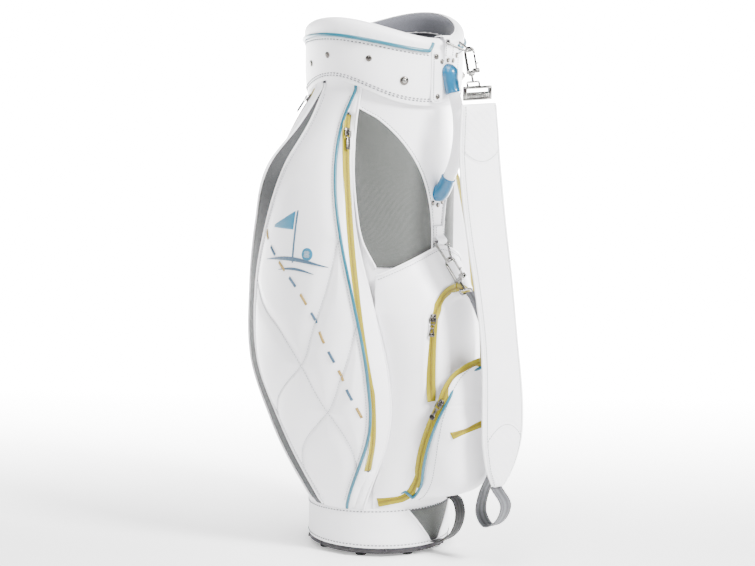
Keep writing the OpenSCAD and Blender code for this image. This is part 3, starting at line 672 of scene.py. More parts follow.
panel("rim_lining", lip_place, 24, 300, LINING, 0.6, wrap=True, size=(50, 680), slot="lining",
      away=lambda u, v: polar(360 * v, 118, rim_z(360 * v) - 12))
rods("rim_lining_binding", [polar(TURN[:-1], 112.0, rim_z(TURN[:-1]) - 0.8)], 1.0, WHITE_SMOOTH, 8,
     loop=True)


def shield_place(u, v):
    z = mix(724.5, 806, v)
    half = np.where(z < 733, 25.5 + np.sqrt(np.clip(72.25 - (733 - z) ** 2, 0, None)), 34)
    x = (2 * u - 1) * half
    edge = np.minimum(half - np.abs(x), z - 724.5)
    r = 126.3 + 1.3 * (1 - np.exp(-edge / 3)) - 0.5 * bump_at(edge - 3.6, 0.9)
    return polar(np.degrees(np.arcsin(x / r)), r, z)


panel("collar_shield", shield_place, 70, 80, WHITE_PU, 1.8, size=(68, 82), slot="white_leatherette",
      replaces=["front_shield"])
SHIELD_R = 127.6                    # radius that the shield's stitches lie on
corner = [(25.5 + 5 * math.cos(g), 733 + 5 * math.sin(g))
          for g in np.linspace(-math.pi / 2, 0, 12)]
outline = np.array([(-30.4, 802)] + [(-x, z) for x, z in reversed(corner)] + corner + [(30.4, 802)])
shield_turn = np.degrees(np.arcsin(outline[:, 0] / SHIELD_R))
shield_line = spline(polar(shield_turn, SHIELD_R, outline[:, 1]), 200)
stitches("shield_stitches", [(shield_line, radial(shield_line))], PAINTED_SHADE_THREAD, pitch=3.6,
         length=2.6)

studs("collar_rivets", [(*at_wall(s * a, r, z), size) for s in (-1, 1) for a, r, z, size in (
    (117, 124.9, 781, 5), (96, 124.9, 797, 5), (62, 124.9, 795, 5), (36.6, 124.9, 761, 7),
    (11.5, 127.3, 797, 4.5), (10, 127.3, 735, 4.5))], DARK_NICKEL, slot="hardware",
      replaces=["collar_studs"])
studs("collar_eyelet_caps", [(*at_wall(s * 36.6, 126.9, 761), 3.6) for s in (-1, 1)], NICKEL,
      slot="hardware")

# ---------- mouth ----------
panel("mouth_lining", lambda u, v: polar(360 * u, 108.6, mix(640, seam_z(360 * u, 108.6), v)),
      144, 20, LINING, 1.5, wrap=True, size=(680, 170), slot="lining", replaces=["top_lining"],
      away=lambda u, v: polar(360 * u, 200, mix(640, 800, v)))

bm = bmesh.new()
add_lathe(bm, [(100, 782), (100, 794), (101, 796), (105.6, 796), (106.8, 795), (106.8, 782),
               (100, 782)], 144)
tidy(bm)
for low, high in [((-102, -3, 782), (102, 3, 796))] + [
        ((s * 34 - 3, -97, 782), (s * 34 + 3, 97, 796)) for s in (-1, 1)]:
    add_block(bm, low, high, 1.6)
finished("divider_moulding", bm, BASE_ABS, slot="base_plastic", replaces=["divider_frame"])

# ---------- base ----------
bm = bmesh.new()
add_lathe(bm, [(0, 4), (106, 4), (109.5, 6), (111.2, 7.4), (113.4, 8.2), (113.8, 10.5), (113.2, 14),
               (112.4, 17), (0, 17)])
tidy(bm)
for k in range(12):
    g = math.radians(30 * k + 15)
    lug = bmesh.ops.create_cone(bm, cap_ends=True, segments=20, radius1=3.2, radius2=2.6,
                                depth=6)["verts"]
    bmesh.ops.translate(bm, vec=(112.2 * math.sin(g), 112.2 * math.cos(g), 10.5), verts=lug)
finished("base_moulding", bm, BASE_ABS, slot="base_plastic", replaces=["base_tray"])
bm = bmesh.new()
for k in range(8):
    g = math.radians(45 * (k + 0.5))
    add_lathe(bm, [(0, 0), (7.6, 0), (8.8, 0.7), (9, 2), (8.4, 6), (0, 6)], 24,
              (97 * math.cos(g), 97 * math.sin(g)))
add_lathe(bm, [(0, 0), (33.5, 0), (35, 1), (35, 5), (0, 5)], 64)
finished("base_rubber_feet", tidy(bm), FOOT_RUBBER, slot="foot_rubber", replaces=["base_feet"])


def band_place(u, v):
    a = 360 * u
    top = band_top(a)
    z = mix(BAND_FOOT, top, v)
    fold = 1 - np.exp(-np.minimum(z - BAND_FOOT, top - z) / 1.2)
    sewn = bump_at(z - BAND_FOOT - 5, 1.0) + bump_at(top - z - 5, 1.0)
    return polar(a, BAND_R - 1.0 + 1.0 * fold - 0.4 * sewn, z)


panel("base_band_wrap", band_place, 240, 56, WHITE_PU, 1.8, wrap=True, size=(717, 62),
      slot="white_leatherette", replaces=["base_band"])
rows = []
for height in (BAND_FOOT + 5 + 0 * TURN, band_top(TURN) - 5):
    path = polar(TURN, BAND_R - 0.3, height)
    rows.append((path, radial(path)))
stitches("base_band_stitches", rows, PAINTED_SHADE_THREAD, pitch=6, length=4.2, thick=1.8, lift=0.6)


def vee_half(z):
    """Half width of the front panel at a height."""
    return np.where(z < 19, mix(0.4, 8, (z - 17) / 2), mix(8, 52, (z - 19) / 57))


def vee_place(u, v):
    z = mix(17.2, 76, v)
    x = (2 * u - 1) * vee_half(z)
    r = BAND_R + 0.9 + 0.5 * (1 - (2 * u - 1) ** 4)
    return polar(np.degrees(np.arcsin(x / r)), r, z)


panel("base_vee_panel", vee_place, 60, 50, PANEL_MESH, 0.9, size=(104, 60), slot="grey_mesh",
      replaces=["base_front_panel"])
lapel = np.array([(s * float(vee_half(z)), z) for s, z in
                  [(-1, z) for z in (77, 60, 44, 30, 20)] + [(1, z) for z in (20, 30, 44, 60, 77)]])
lapel_path = spline(polar(np.degrees(np.arcsin(lapel[:, 0] / 115.4)), 115.4, lapel[:, 1]), 90)
rods("base_vee_piping", [lapel_path], 1.5, WHITE_SMOOTH, 8, slot="white_leatherette")


# ---------- side pockets ----------
# Edges of a side pocket at rising heights, each as angles and radii: the front seam on the tube,
# the face's front and rear edges, the mesh band's outer edge and the rear seam on the tube
EDGE_Z = [80, 200, 300, 420, 530, 620, 690, 745]
SEAM = ([63, 45, 45.5, 58.5, 72, 75.5, 73, 69], [114.5, 126, 129, 124, 118, 115, 114.5, 114.5])
FORE = ([77, 58, 57.5, 64.5, 73.5, 80.5, 82, 73], [115.5, 150, 174, 180, 170, 148, 124, 115])
REAR = ([102, 128, 137, 132, 124, 116.5, 109, 103], [117, 162, 197, 202, 190, 169, 135, 116])
WING = ([112, 137, 144.5, 140, 132, 121, 113, 105], [121, 175, 210, 211, 203, 192, 146, 118])
BACK = ([118, 146, 160, 162, 153, 141, 127, 112], [114.6] * 8)
POCKET_LOW, POCKET_HIGH = 74, 762


def tucked(r, z):
    """Draws a pocket's surface in to the base band at its foot."""
    return mix(BAND_R - 1.6, r, np.clip((z - POCKET_LOW) / 11, 0, 1) ** 0.6)


def between(one, other, t, z, lift=0.0):
    """A point part of the way from one edge of a side pocket to another, on the left."""
    a = mix(smooth(EDGE_Z, one[0], z), smooth(EDGE_Z, other[0], z), t)
    r = mix(smooth(EDGE_Z, one[1], z), smooth(EDGE_Z, other[1], z), t)
    return polar(-a, tucked(r + lift, z), z)


def level(v):
    """Height on a side pocket from a share of its full height."""
    return mix(POCKET_LOW, POCKET_HIGH, v)


# Slider arcs: start, middle and end in polar terms, and the tape's tilt about its own line
ARCS = {
    "side": ([(-78.5, 124, 680), (-66.5, 163, 470), (-55.5, 155, 270)], 58),
    "rear": ([(-117, 128, 726), (-146, 204, 450), (-150, 172, 215)], 30),
    "accessory": ([(-20.5, 161, 393), (-22.6, 166.5, 345), (-23, 168.5, 291)], 12),
    "ball": ([(-20.5, 187, 262), (-26.6, 171, 200), (-26.6, 148, 137)], 12),
    "valuables": ([(17, 204, 213), (0, 216.5, 228), (-17, 204, 213)], 12),
}
PARKED = {"valuables": 0.2}         # share of its arc at which a slider rests


def arc_frame(name, turn):
    """Point, outward direction and backward direction on a zip's arc after a turn."""
    corners, tilt = ARCS[name]
    arc = circle_through(*(polar(*c) for c in corners))
    spot = on_arc(arc, polar(*corners[0]), turn)
    spoke = (spot - arc[0]) / arc[2]
    tilt = math.radians(tilt)
    return spot, spoke * math.cos(tilt) + arc[1] * math.sin(tilt), -np.cross(arc[1], spoke)


def zip_line(name, before, after, count):
    """A zip's whole line through its slider's arc: (path, outward directions)."""
    sweep = circle_through(*(polar(*c) for c in ARCS[name][0]))[3]
    spots, outs, _ = arc_frame(name, np.linspace(0, sweep, 25))
    first = np.array([polar(*c) for c in before]).reshape(-1, 3)
    last = np.array([polar(*c) for c in after]).reshape(-1, 3)
    if name in ("side", "rear"):
        out_first, out_last = outs[:1].repeat(len(first), 0), outs[-1:].repeat(len(last), 0)
    else:
        out_first = radial(first) if len(first) else first
        out_last = radial(last) if len(last) else last
    path = np.concatenate([first, spots, last])
    reach = lengths(path)
    s = np.linspace(0, reach[-1], count)
    rows = np.concatenate([out_first, outs, out_last])
    out = np.stack([smooth(reach, rows[:, k], s) for k in range(3)], -1)
    path = spline(path, count)
    return path, path_frames(path, out)[1]


def zipper(name, path, out, half=7.3, mirror=False, replaces=()):
    """A zip: two edges of woven tape with a coil of teeth along the middle."""
    ahead, out, across = path_frames(path, out)
    total = lengths(path)[-1]
    share = lengths(path) / total

    def tape(u, v):
        x = (2 * u - 1) * half
        lift = -0.2 - 0.5 * (np.abs(x) / half) ** 6 + 0.35 * bump_at(np.abs(x) - 2.9, 0.7)
        return (rows_at(path, share, v) + rows_at(across, share, v) * x[:, None]
                + rows_at(out, share, v) * lift[:, None])

    panel(name + "_tape", tape, 26, max(int(total / 3), 20), ZIP_TAPE, 0.9, size=(2 * half, total),
          away=lambda u, v: tape(u, v) - 9 * rows_at(out, share, v), slot="zip_tape",
          mirror=mirror, replaces=replaces)
    bm = bmesh.new()
    at = np.arange(1.5, total - 1.5, 2.0) / total
    frames = (rows_at(table, share, at) for table in (path, ahead, out, across))
    teeth = []
    for k, (spot, d, o, x) in enumerate(zip(*frames)):
        turn = Matrix((x, d, o)).transposed().to_4x4()
        shape = Matrix.Diagonal((2.0, 0.8, 0.55, 1))
        where = Matrix.Translation(spot + x * (0.4 if k % 2 else -0.4) + o * 0.1)
        teeth.append(where @ turn @ shape)
    add_beads(bm, teeth)
    finished(name + "_coil", bm, ZIP_COIL, slot="zip_tape", mirror=mirror)


side_path, side_out = zip_line("side", [(-79, 117.5, 706)],
                               [(-55, 148, 200), (-58.5, 133, 146)], 300)
rear_path, rear_out = zip_line("rear", [(-115.5, 121, 742)], [(-140, 146, 152)], 300)
side_across, rear_across = (path_frames(*line)[2] for line in ((side_path, side_out),
                                                               (rear_path, rear_out)))


def zip_at(path, table, z):
    """A row of the table beside a falling path, at each height."""
    return np.stack([np.interp(z, path[::-1, 2], table[::-1, k]) for k in range(3)], -1)


def flat_unit(v):
    v = v * (1, 1, 0)
    return v / np.linalg.norm(v, axis=-1)[:, None]


def gusset_place(line, across, near, facing):
    """place(u, v) for the strip between a side pocket's edge and the leather's fold at a zip.

    near is the strip on the outer side of the zip, and facing is 1 at the front, -1 behind."""
    def place(u, v):
        z = level(v)
        zip_spot = zip_at(line, line, z)
        beyond = np.clip(np.maximum(z - line[0, 2], line[-1, 2] - z), 0, None)
        edges = (FORE, SEAM) if facing > 0 else (WING, BACK)
        outer, inner = (between(e, e, 0.0 * z, z) for e in edges)
        meeting = mix(inner, outer, 0.5)
        zip_spot = mix(zip_spot, meeting, np.clip(beyond / 30, 0, 1)[:, None])
        zip_spot[:, 2] = z
        seam = outer if near else inner
        along = flat_unit(outer - inner)
        sideways = zip_at(line, across, z)
        sideways *= np.sign((sideways * along).sum(1))[:, None]
        open_half = 6.5 * np.clip(1 - beyond / 3, 0, 1) ** 0.5 - 0.6
        fold = zip_spot + sideways * (open_half * (1 if near else -1))[:, None]
        fold[:, 2] = z
        normal = np.cross(along, (0, 0, 1))
        normal *= np.sign((normal * (-0.3, -facing, 0)).sum(1))[:, None]
        width = np.linalg.norm(seam - fold, axis=1)
        gap = (1 - u) * width
        lift = 1.0 + 1.2 * np.sin(np.pi * u) ** 0.8 * np.clip(width / 20, 0, 1)
        lift = lift - 0.5 * bump_at(gap - 2.6, 0.8) - 1.4 * u**8 - 1.4 * (1 - u) ** 8
        lift = np.where(z > 735, np.minimum(lift, 0.6), lift) * np.clip((z - 78) / 10, 0, 1)
        return mix(seam, fold, u[:, None]) + normal * lift[:, None]
    return place


# Quilting seams of the side face: share of the way from front edge to rear, and height
QUILTS = [
    [(0.99, 434), (0.95, 425), (0.827, 399), (0.609, 366), (0.441, 315), (0.313, 242), (0.06, 160),
     (0.01, 146)],
    [(0.01, 517), (0.056, 508), (0.232, 423), (0.322, 378), (0.441, 315), (0.878, 232),
     (0.99, 214)],
    [(0.01, 386), (0.041, 373), (0.179, 297), (0.313, 242), (0.777, 163), (0.97, 133)],
]
DASH_LINE = [(0.97, 523), (0.939, 519), (0.421, 435), (0.22, 342), (0.127, 275), (0.024, 217)]


def face_line(points, count=160):
    """A line on the side face: its shares from front edge to rear and its heights."""
    return (spline(np.array(points) * (200, 1), count) / (200, 1)).T


quilt_lines = [between(FORE, REAR, *face_line(q)) for q in QUILTS]


def face_width(z):
    return np.linalg.norm(between(REAR, REAR, 0 * z, z) - between(FORE, FORE, 0 * z, z), axis=1)


def on_face(share, z, lift=0.0):
    """A point over the padded face: it puffs out between its seams and dips where it is sewn."""
    edge = np.minimum(share, 1 - share) * face_width(z)
    near = distance_to(between(FORE, REAR, share, z), quilt_lines)
    puff = 4.4 * (1 - np.exp(-(np.minimum(near, edge * 0.9) / 15) ** 2))
    puff = puff - 2.4 * bump_at(near, 1.8) - 0.6 * bump_at(edge - 6, 1.0)
    calm = np.clip((748 - z) / 60, 0, 1) * np.clip((z - 76) / 30, 0, 1)
    return between(FORE, REAR, share, z, puff * calm - 1.2 * np.exp(-edge / 1.2) + lift)


def face_place(u, v):
    """The quilted outer face of a side pocket."""
    return on_face(u, level(v))


dash_line = on_face(*face_line(DASH_LINE, 400), 0.5)
dash_reach = lengths(dash_line)


def dash_place(u, v, start):
    """One embroidered dash, 20 mm long, that starts at a distance along the dash line."""
    s = start + 20 * v
    spot = rows_at(dash_line, dash_reach, s)
    across = np.cross(rows_at(dash_line, dash_reach, s + 1) - spot, radial(spot))
    across /= np.linalg.norm(across, axis=1)[:, None]
    rim = np.maximum(np.abs(2 * u - 1), np.abs(2 * v - 1))
    lift = 1.5 - 1.6 * rim**6 + 0.15 * np.sin(v * 110)
    return spot + across * ((2 * u - 1) * 2.5)[:, None] + radial(spot) * lift[:, None]


def edge_pipe(edge, lift):
    """The line of a piping along one edge of a side pocket."""
    z = np.linspace(78, 752, 230)
    return between(edge, edge, 0 * z, z, lift)


def wing_place(u, v):
    """The mesh band at the rear of a side pocket, lightly domed between its seams."""
    z = level(v)
    rear, wing = between(REAR, REAR, 0 * z, z, 0.2), between(WING, WING, 0 * z, z)
    d = flat_unit(wing - rear)
    out = np.stack([d[:, 1], -d[:, 0], 0 * z], -1)
    out *= np.sign((out * (rear * (1, 1, 0))).sum(1))[:, None]
    lift = 1.4 * np.sin(np.pi * u) - 1.0 * (2 * u - 1) ** 12
    return mix(rear, wing, u[:, None]) + out * (lift * np.clip((z - 78) / 20, 0, 1))[:, None]


EMBLEM = (0.485, 512)               # the middle of the emblem on the side face


def satin(name, shapes, finish, mirror, across=24, along=40):
    """Satin stitch emblem parts; each shape is a function of (u, v) giving x and y rows."""
    bm = bmesh.new()
    for shape in shapes:
        def place(u, v, shape=shape):
            x, y = shape(u, v)
            rim = np.maximum(np.abs(2 * u - 1), np.abs(2 * v - 1))
            z = EMBLEM[1] + y
            lift = 1.2 - 1.3 * rim**8 + 0.12 * np.sin(v * 120)
            return on_face(EMBLEM[0] - x / face_width(z), z, lift)
        mapped(bm, place, across, along)
    return finished(name, bm, finish, mirror=mirror)


def disc(cx, cy, radius):
    def shape(u, v):
        x, y = 2 * u - 1, 2 * v - 1
        return (cx + radius * x * np.sqrt(1 - y * y / 2), cy + radius * y * np.sqrt(1 - x * x / 2))
    return shape


def pennant(u, v):
    """The flag: a cloth 44 mm long that narrows and drops from the pole to its tip."""
    return -4 - 44 * v, 30 - 14 * v + (u - 0.5) * (30 - 26 * v)


def swoosh(x0, x1, y0, rise, thick):
    """A hill line: a long bowed stroke, thickest in the middle."""
    def shape(u, v):
        bow = np.sin(np.pi * v)
        return mix(x0, x1, v), y0 + rise * bow + (u - 0.5) * thick * (0.15 + bow)
    return shape


for side, mirror in SIDES:
    tag = "_" + side
    panel("quilted_face" + tag, face_place, 130, 300, WHITE_PU, 2.2, size=(230, 690),
          slot="white_leatherette", mirror=mirror, replaces=["side_face" + tag])
    panel("side_mesh_band" + tag, wing_place, 26, 180, BAND_MESH, 1.8, size=(45, 690),
          slot="grey_mesh", mirror=mirror, replaces=["side_band" + tag])
    for name, near, facing, across, thick, wide, stands_for in (
            ("front_gusset_inner", False, 1, 26, 1.8, 60, ["side_pocket" + tag]),
            ("front_gusset_outer", True, 1, 14, 1.6, 20, ()),
            ("back_panel_outer", True, -1, 22, 1.8, 50, ()),
            ("back_panel_inner", False, -1, 26, 1.8, 60, ())):
        outer, line, sideways = ((FORE, side_path, side_across) if facing > 0
                                 else (WING, rear_path, rear_across))
        panel(name + tag, gusset_place(line, sideways, near, facing), across, 230, WHITE_PU,
              thick, size=(wide, 690), slot="white_leatherette", mirror=mirror,
              away=lambda u, v: between(outer, outer, 0 * v, level(v), -20) + (0, 60 * facing, 0),
              replaces=stands_for)
    zipper("side_zip_run" + tag, side_path, side_out, mirror=mirror, replaces=["side_zip" + tag])
    zipper("rear_zip_run" + tag, rear_path, rear_out, mirror=mirror, replaces=["rear_zip" + tag])
    rods("face_front_piping" + tag, [edge_pipe(FORE, 2.0)], 2.5, CYAN_PIPING, slot="cyan_trim",
         mirror=mirror)
    seams = ((REAR, 1.1), (WING, 0.8), (SEAM, 0.9), (BACK, 0.3))
    rods("side_white_piping" + tag, [edge_pipe(edge, lift) for edge, lift in seams], PIPE_R,
         WHITE_SMOOTH, slot="white_leatherette", mirror=mirror)
    rows = [(path + radial(path) * 0.3, radial(path)) for path in quilt_lines]
    z = np.linspace(92, 736, 200)
    for share in (6 / face_width(z), 1 - 6 / face_width(z)):
        path = on_face(share, z, 0.4)
        rows.append((path, radial(path)))
    stitches("quilting_stitches" + tag, rows, WHITE_THREAD, pitch=4.8, mirror=mirror)
    for order, (name, finish) in enumerate((("gold_dashes", GOLD_THREAD),
                                            ("slate_dashes", SLATE_THREAD))):
        bm = bmesh.new()
        for start in np.arange(6 + 34 * order, dash_reach[-1] - 24, 68):
            mapped(bm, lambda u, v: dash_place(u, v, start), 8, 60)
        finished(name + tag, bm, finish, mirror=mirror)
    satin("emblem_flag" + tag, [pennant], CYAN_THREAD, mirror)
    satin("emblem_pole" + tag, [lambda u, v: (0 * v + (u - 0.5) * 3.4, mix(-36, 46, v))],
          SLATE_THREAD, mirror, 8, 60)
    satin("emblem_ground" + tag, [swoosh(62, -62, -38, 8, 6), swoosh(40, -30, -50, 5, 4)],
          SLATE_THREAD, mirror, 12, 90)
    satin("emblem_ball" + tag, [disc(26, -20, 10)], CYAN_THREAD, mirror)
    satin("emblem_ball_face" + tag, [disc(26, -20, 7.6)], WHITE_THREAD, mirror)

# ---------- mesh panels on the tube ----------
# A panel's inner and outer edge in degrees, at rising heights
MESH_Z = [468, 510, 560, 610, 660, 700, 718]
MESH_IN = [8, 7, 9.5, 17.5, 33.5, 54, 71]
MESH_OUT = [56, 67, 72, 74.4, 74.2, 72.6, 71.8]


def mesh_place(u, v):
    z = mix(MESH_Z[0], 717, v)
    a = -mix(smooth(MESH_Z, MESH_IN, z), smooth(MESH_Z, MESH_OUT, z), u)
    return polar(a, TUBE_R + 1.1 + 1.2 * (4 * u * (1 - u)) ** 0.5, z)


mesh_z = np.linspace(466, 719, 120)
mesh_inner = polar(-smooth(MESH_Z, MESH_IN, mesh_z), TUBE_R + 1.4, mesh_z)
mesh_outer = polar(-smooth(MESH_Z, MESH_OUT, mesh_z), TUBE_R + 1.4, mesh_z)
for side, mirror in SIDES:
    panel("tube_mesh_panel_" + side, mesh_place, 60, 120, PANEL_MESH, 0.9, size=(110, 250),
          slot="grey_mesh", mirror=mirror, replaces=["mesh_panel_" + side])
    rods("mesh_panel_piping_" + side, [spline(np.concatenate([mesh_inner, mesh_outer[::-1]]), 260)],
         1.7, WHITE_SMOOTH, 8, slot="white_leatherette", mirror=mirror)
    outside = polar(-smooth(MESH_Z, MESH_IN, mesh_z) + 2.2, TUBE_R + 0.1, mesh_z)
    stitches("mesh_panel_stitches_" + side, [(outside, radial(outside))], PAINTED_SHADE_THREAD,
             mirror=mirror)

# ---------- front pockets ----------
# Accessory pocket: its crest at rising heights. Ball pocket: its crest, half angle and edge
FRONT_Z = [84, 105, 140, 200, 300, 380, 434, 470, 500]
FRONT_R = [115.5, 132, 150, 164, 172, 167, 148, 126, 116]
BALL_Z = [92, 105, 130, 160, 200, 250, 300, 322]
BALL_R = [128, 172, 203, 211, 213, 210, 204, 199]
BALL_HALF = [26, 25.5, 25.5, 26, 25.8, 22.5, 14, 2]
BALL_EDGE = [119, 126, 139, 154, 168, 178, 190, 198]


def front_top(a):
    """The accessory pocket's arched top edge."""
    return 498 - 44 * (np.abs(a) / 56) ** 1.3


def front_half(z):
    """Half angle of the accessory pocket at a height: it ends at the side pockets' seams."""
    return np.minimum(smooth(EDGE_Z, SEAM[0], z), 56) - 0.2


def front_r(a, z):
    """Radius of the accessory pocket's surface."""
    crest = smooth(FRONT_Z, FRONT_R, z)
    edge = np.minimum(smooth(EDGE_Z, SEAM[1], z), crest)
    return edge + (crest - edge) * (1 - np.minimum(np.abs(a) / front_half(z), 1) ** 2.6)


accessory_path, accessory_out = zip_line(
    "accessory", [(0, 150.5, 434), (-7, 152, 430), (-13.5, 155, 419)], [(-22.4, 168.5, 262)], 200)
BALL_TAIL = [(-28, 112), (-33, 101), (-42, 96), (-52, 91)]
ball_path, ball_out = zip_line(
    "ball", [(0, 202, 322), (-8, 196, 314), (-15, 190, 297)],
    [(a, float(front_r(a, z)) + 1.0, z) for a, z in BALL_TAIL], 260)


def seated_r(a, z, radius, lines):
    """A pocket's radius with its leather raised beside a zip and sunk beneath it."""
    spot = polar(a, radius, z)
    for line in lines:
        for mirrored in (1, -1):
            near = distance_to(spot, [line[::6] * (mirrored, 1, 1)])
            radius = radius + 1.2 * bump_at(near - 12, 4) - 2.2 * bump_at(near, 6.5)
    return radius


def accessory_place(u, v):
    a = (2 * u - 1) * front_half(mix(84, 454, v))
    z = mix(POCKET_FOOT, front_top(a), v)
    edge = mix(0, 70, 1 - np.abs(2 * u - 1))
    r = np.maximum(front_r(a, z), TUBE_R + 0.8)
    r = mix(BAND_R - 1.5, r, np.clip((z - POCKET_FOOT) / 12, 0, 1) ** 0.6)
    seat = seated_r(a, z, r, [accessory_path, ball_path[120:]])
    top = front_top(a) - z
    fold = 1.2 * np.exp(-np.minimum(edge, top) / 2)
    ripple = 0.7 * np.sin(z / 23 + a / 9) * np.sin(a / 13) * np.clip(top / 40, 0, 1)
    return polar(a, np.maximum(seat - fold + ripple, TUBE_R + 0.4), z)


panel("accessory_pocket_front", accessory_place, 170, 230, WHITE_PU, 1.2, size=(260, 420),
      slot="white_leatherette", replaces=["accessory_pocket"])
fan = np.linspace(-54, 54, 160)
fan_top = front_top(fan)
top_path = polar(fan, np.maximum(front_r(fan, fan_top), TUBE_R + 1.0) + 0.6, fan_top)
rods("accessory_pocket_top_piping", [top_path], 1.7, WHITE_SMOOTH, 8, slot="white_leatherette")
below = polar(fan, front_r(fan, fan_top - 6) + 0.8, fan_top - 6)
stitches("accessory_pocket_stitches", [(below, radial(below))], PAINTED_SHADE_THREAD)


def ball_r(a, z, share):
    """Radius of the ball pocket's surface, always clear of the accessory pocket under it."""
    edge = smooth(BALL_Z, BALL_EDGE, z)
    crest = smooth(BALL_Z, BALL_R, z)
    under = front_r(a, z) + 0.8
    return np.maximum(edge + (crest - edge) * (1 - np.abs(share) ** 3), under + 1.5)


valuables_arc = circle_through(*(polar(*c) for c in ARCS["valuables"][0]))
valuables_turn = np.linspace(-0.03, valuables_arc[3] + 0.03, 110)
valuables_path, valuables_out, _ = arc_frame("valuables", valuables_turn)


def ball_place(u, v):
    z = mix(91, 324, v)
    share = 2 * u - 1
    a = share * smooth(BALL_Z, BALL_HALF, z)
    r = ball_r(a, z, share)
    edge = (1 - np.abs(share)) * np.radians(smooth(BALL_Z, BALL_HALF, z)) * r
    foot = np.clip((z - 91) / 16, 0, 1) ** 0.5
    r = mix(front_r(a, z) + 0.8, r, foot)
    spot = polar(a, r, z)
    near = distance_to(spot, [valuables_path[::3]])
    r = r + 3.4 * bump_at(near - 6, 9) - 1.5 * bump_at(near, 5.5)
    sewn = 0.6 * bump_at(edge - 6, 1.1) + 0.9 * bump_at(z - 262 + 0.25 * np.abs(a), 1.8)
    ripple = 0.8 * np.sin(z / 19 + a / 6) * np.sin(a / 8 + 1)
    return polar(a, r - sewn + ripple * np.clip(edge / 25, 0, 1), z)


panel("ball_pocket_front", ball_place, 150, 210, WHITE_PU, 1.4, size=(190, 235),
      slot="white_leatherette", replaces=["ball_pocket"])
BALL_SEWN = 0.84                    # where the ball pocket's side seams are sewn, as a share
ball_z = np.linspace(95, 320, 130)
for side, mirror in SIDES:
    across = path_frames(ball_path, ball_out)[2]
    inwards = np.sign((across * ((0, -190, 200) - ball_path)).sum(1))[:, None]
    path = (ball_path + across * inwards * 9.0 + ball_out * 0.9)[:-34]
    rods("ball_pocket_piping_" + side, [path], 2.3, CYAN_PIPING, slot="cyan_trim", mirror=mirror)
    ball_turn = -smooth(BALL_Z, BALL_HALF, ball_z) * BALL_SEWN
    path = polar(ball_turn, ball_r(ball_turn, ball_z, BALL_SEWN) + 0.4, ball_z)
    stitches("ball_pocket_stitches_" + side, [(path, radial(path))], PAINTED_SHADE_THREAD, mirror=mirror)
    zipper("accessory_zip_run_" + side, accessory_path, accessory_out, mirror=mirror,
           replaces=["accessory_zip"] if side == "left" else ())
    zipper("ball_zip_run_" + side, ball_path, ball_out, mirror=mirror,
           replaces=["ball_zip"] if side == "left" else ())
zipper("valuables_zip_run", valuables_path, valuables_out, 6.0, replaces=["valuables_zip"])

# ---------- zip sliders and pullers ----------
PULL_L = 30.0
BRIDGE_Z = 4.8


def zip_matrix(name):
    """A slider's own axes: X across the tape, Y back along the zip, Z out of the tape."""
    arc = circle_through(*(polar(*c) for c in ARCS[name][0]))
    spot, out, back = arc_frame(name, np.array([PARKED.get(name, 0) * arc[3]]))
    spot, out, back = Vector(spot[0]), Vector(out[0]), Vector(back[0])
    turn = Matrix((back.cross(out), back, out)).transposed().to_4x4()
    return Matrix.Translation(spot) @ turn


def slider(node, body, zip_name, mirror=False):
    """A zip slider: a body of two plates over the teeth, with an arched bridge for the puller."""
    bm = bmesh.new()
    add_block(bm, (-4.2, -6, 1.3), (4.2, 6, 2.9), 0.7)
    add_block(bm, (-3.0, -6.3, 0.9), (3.0, -3.5, 2.7), 0.8)
    for s in (-1, 1):
        add_block(bm, (s * 3.9 - 0.5, -5, 0.3), (s * 3.9 + 0.5, 5, 2.2), 0.3)
    spin = Matrix.Rotation(math.pi / 2 if zip_name == "valuables" else 0, 4, "Z")
    arch = np.array([(0, 3.6, 2.6), (0, 3.4, 4.6), (0, 2.2, 6.3), (0, 0, 6.8), (0, -2.2, 6.3),
                     (0, -3.4, 4.6), (0, -3.6, 2.6)])
    arch = np.array([spin @ Vector(p) for p in spline(arch, 20)])
    add_rod(bm, arch, 0.75, 8)
    finished(node + "_cast", tidy(bm), DARK_NICKEL, slot="zip_metal", body=body, replaces=[node],
             frame=zip_matrix(zip_name), mirror=mirror)


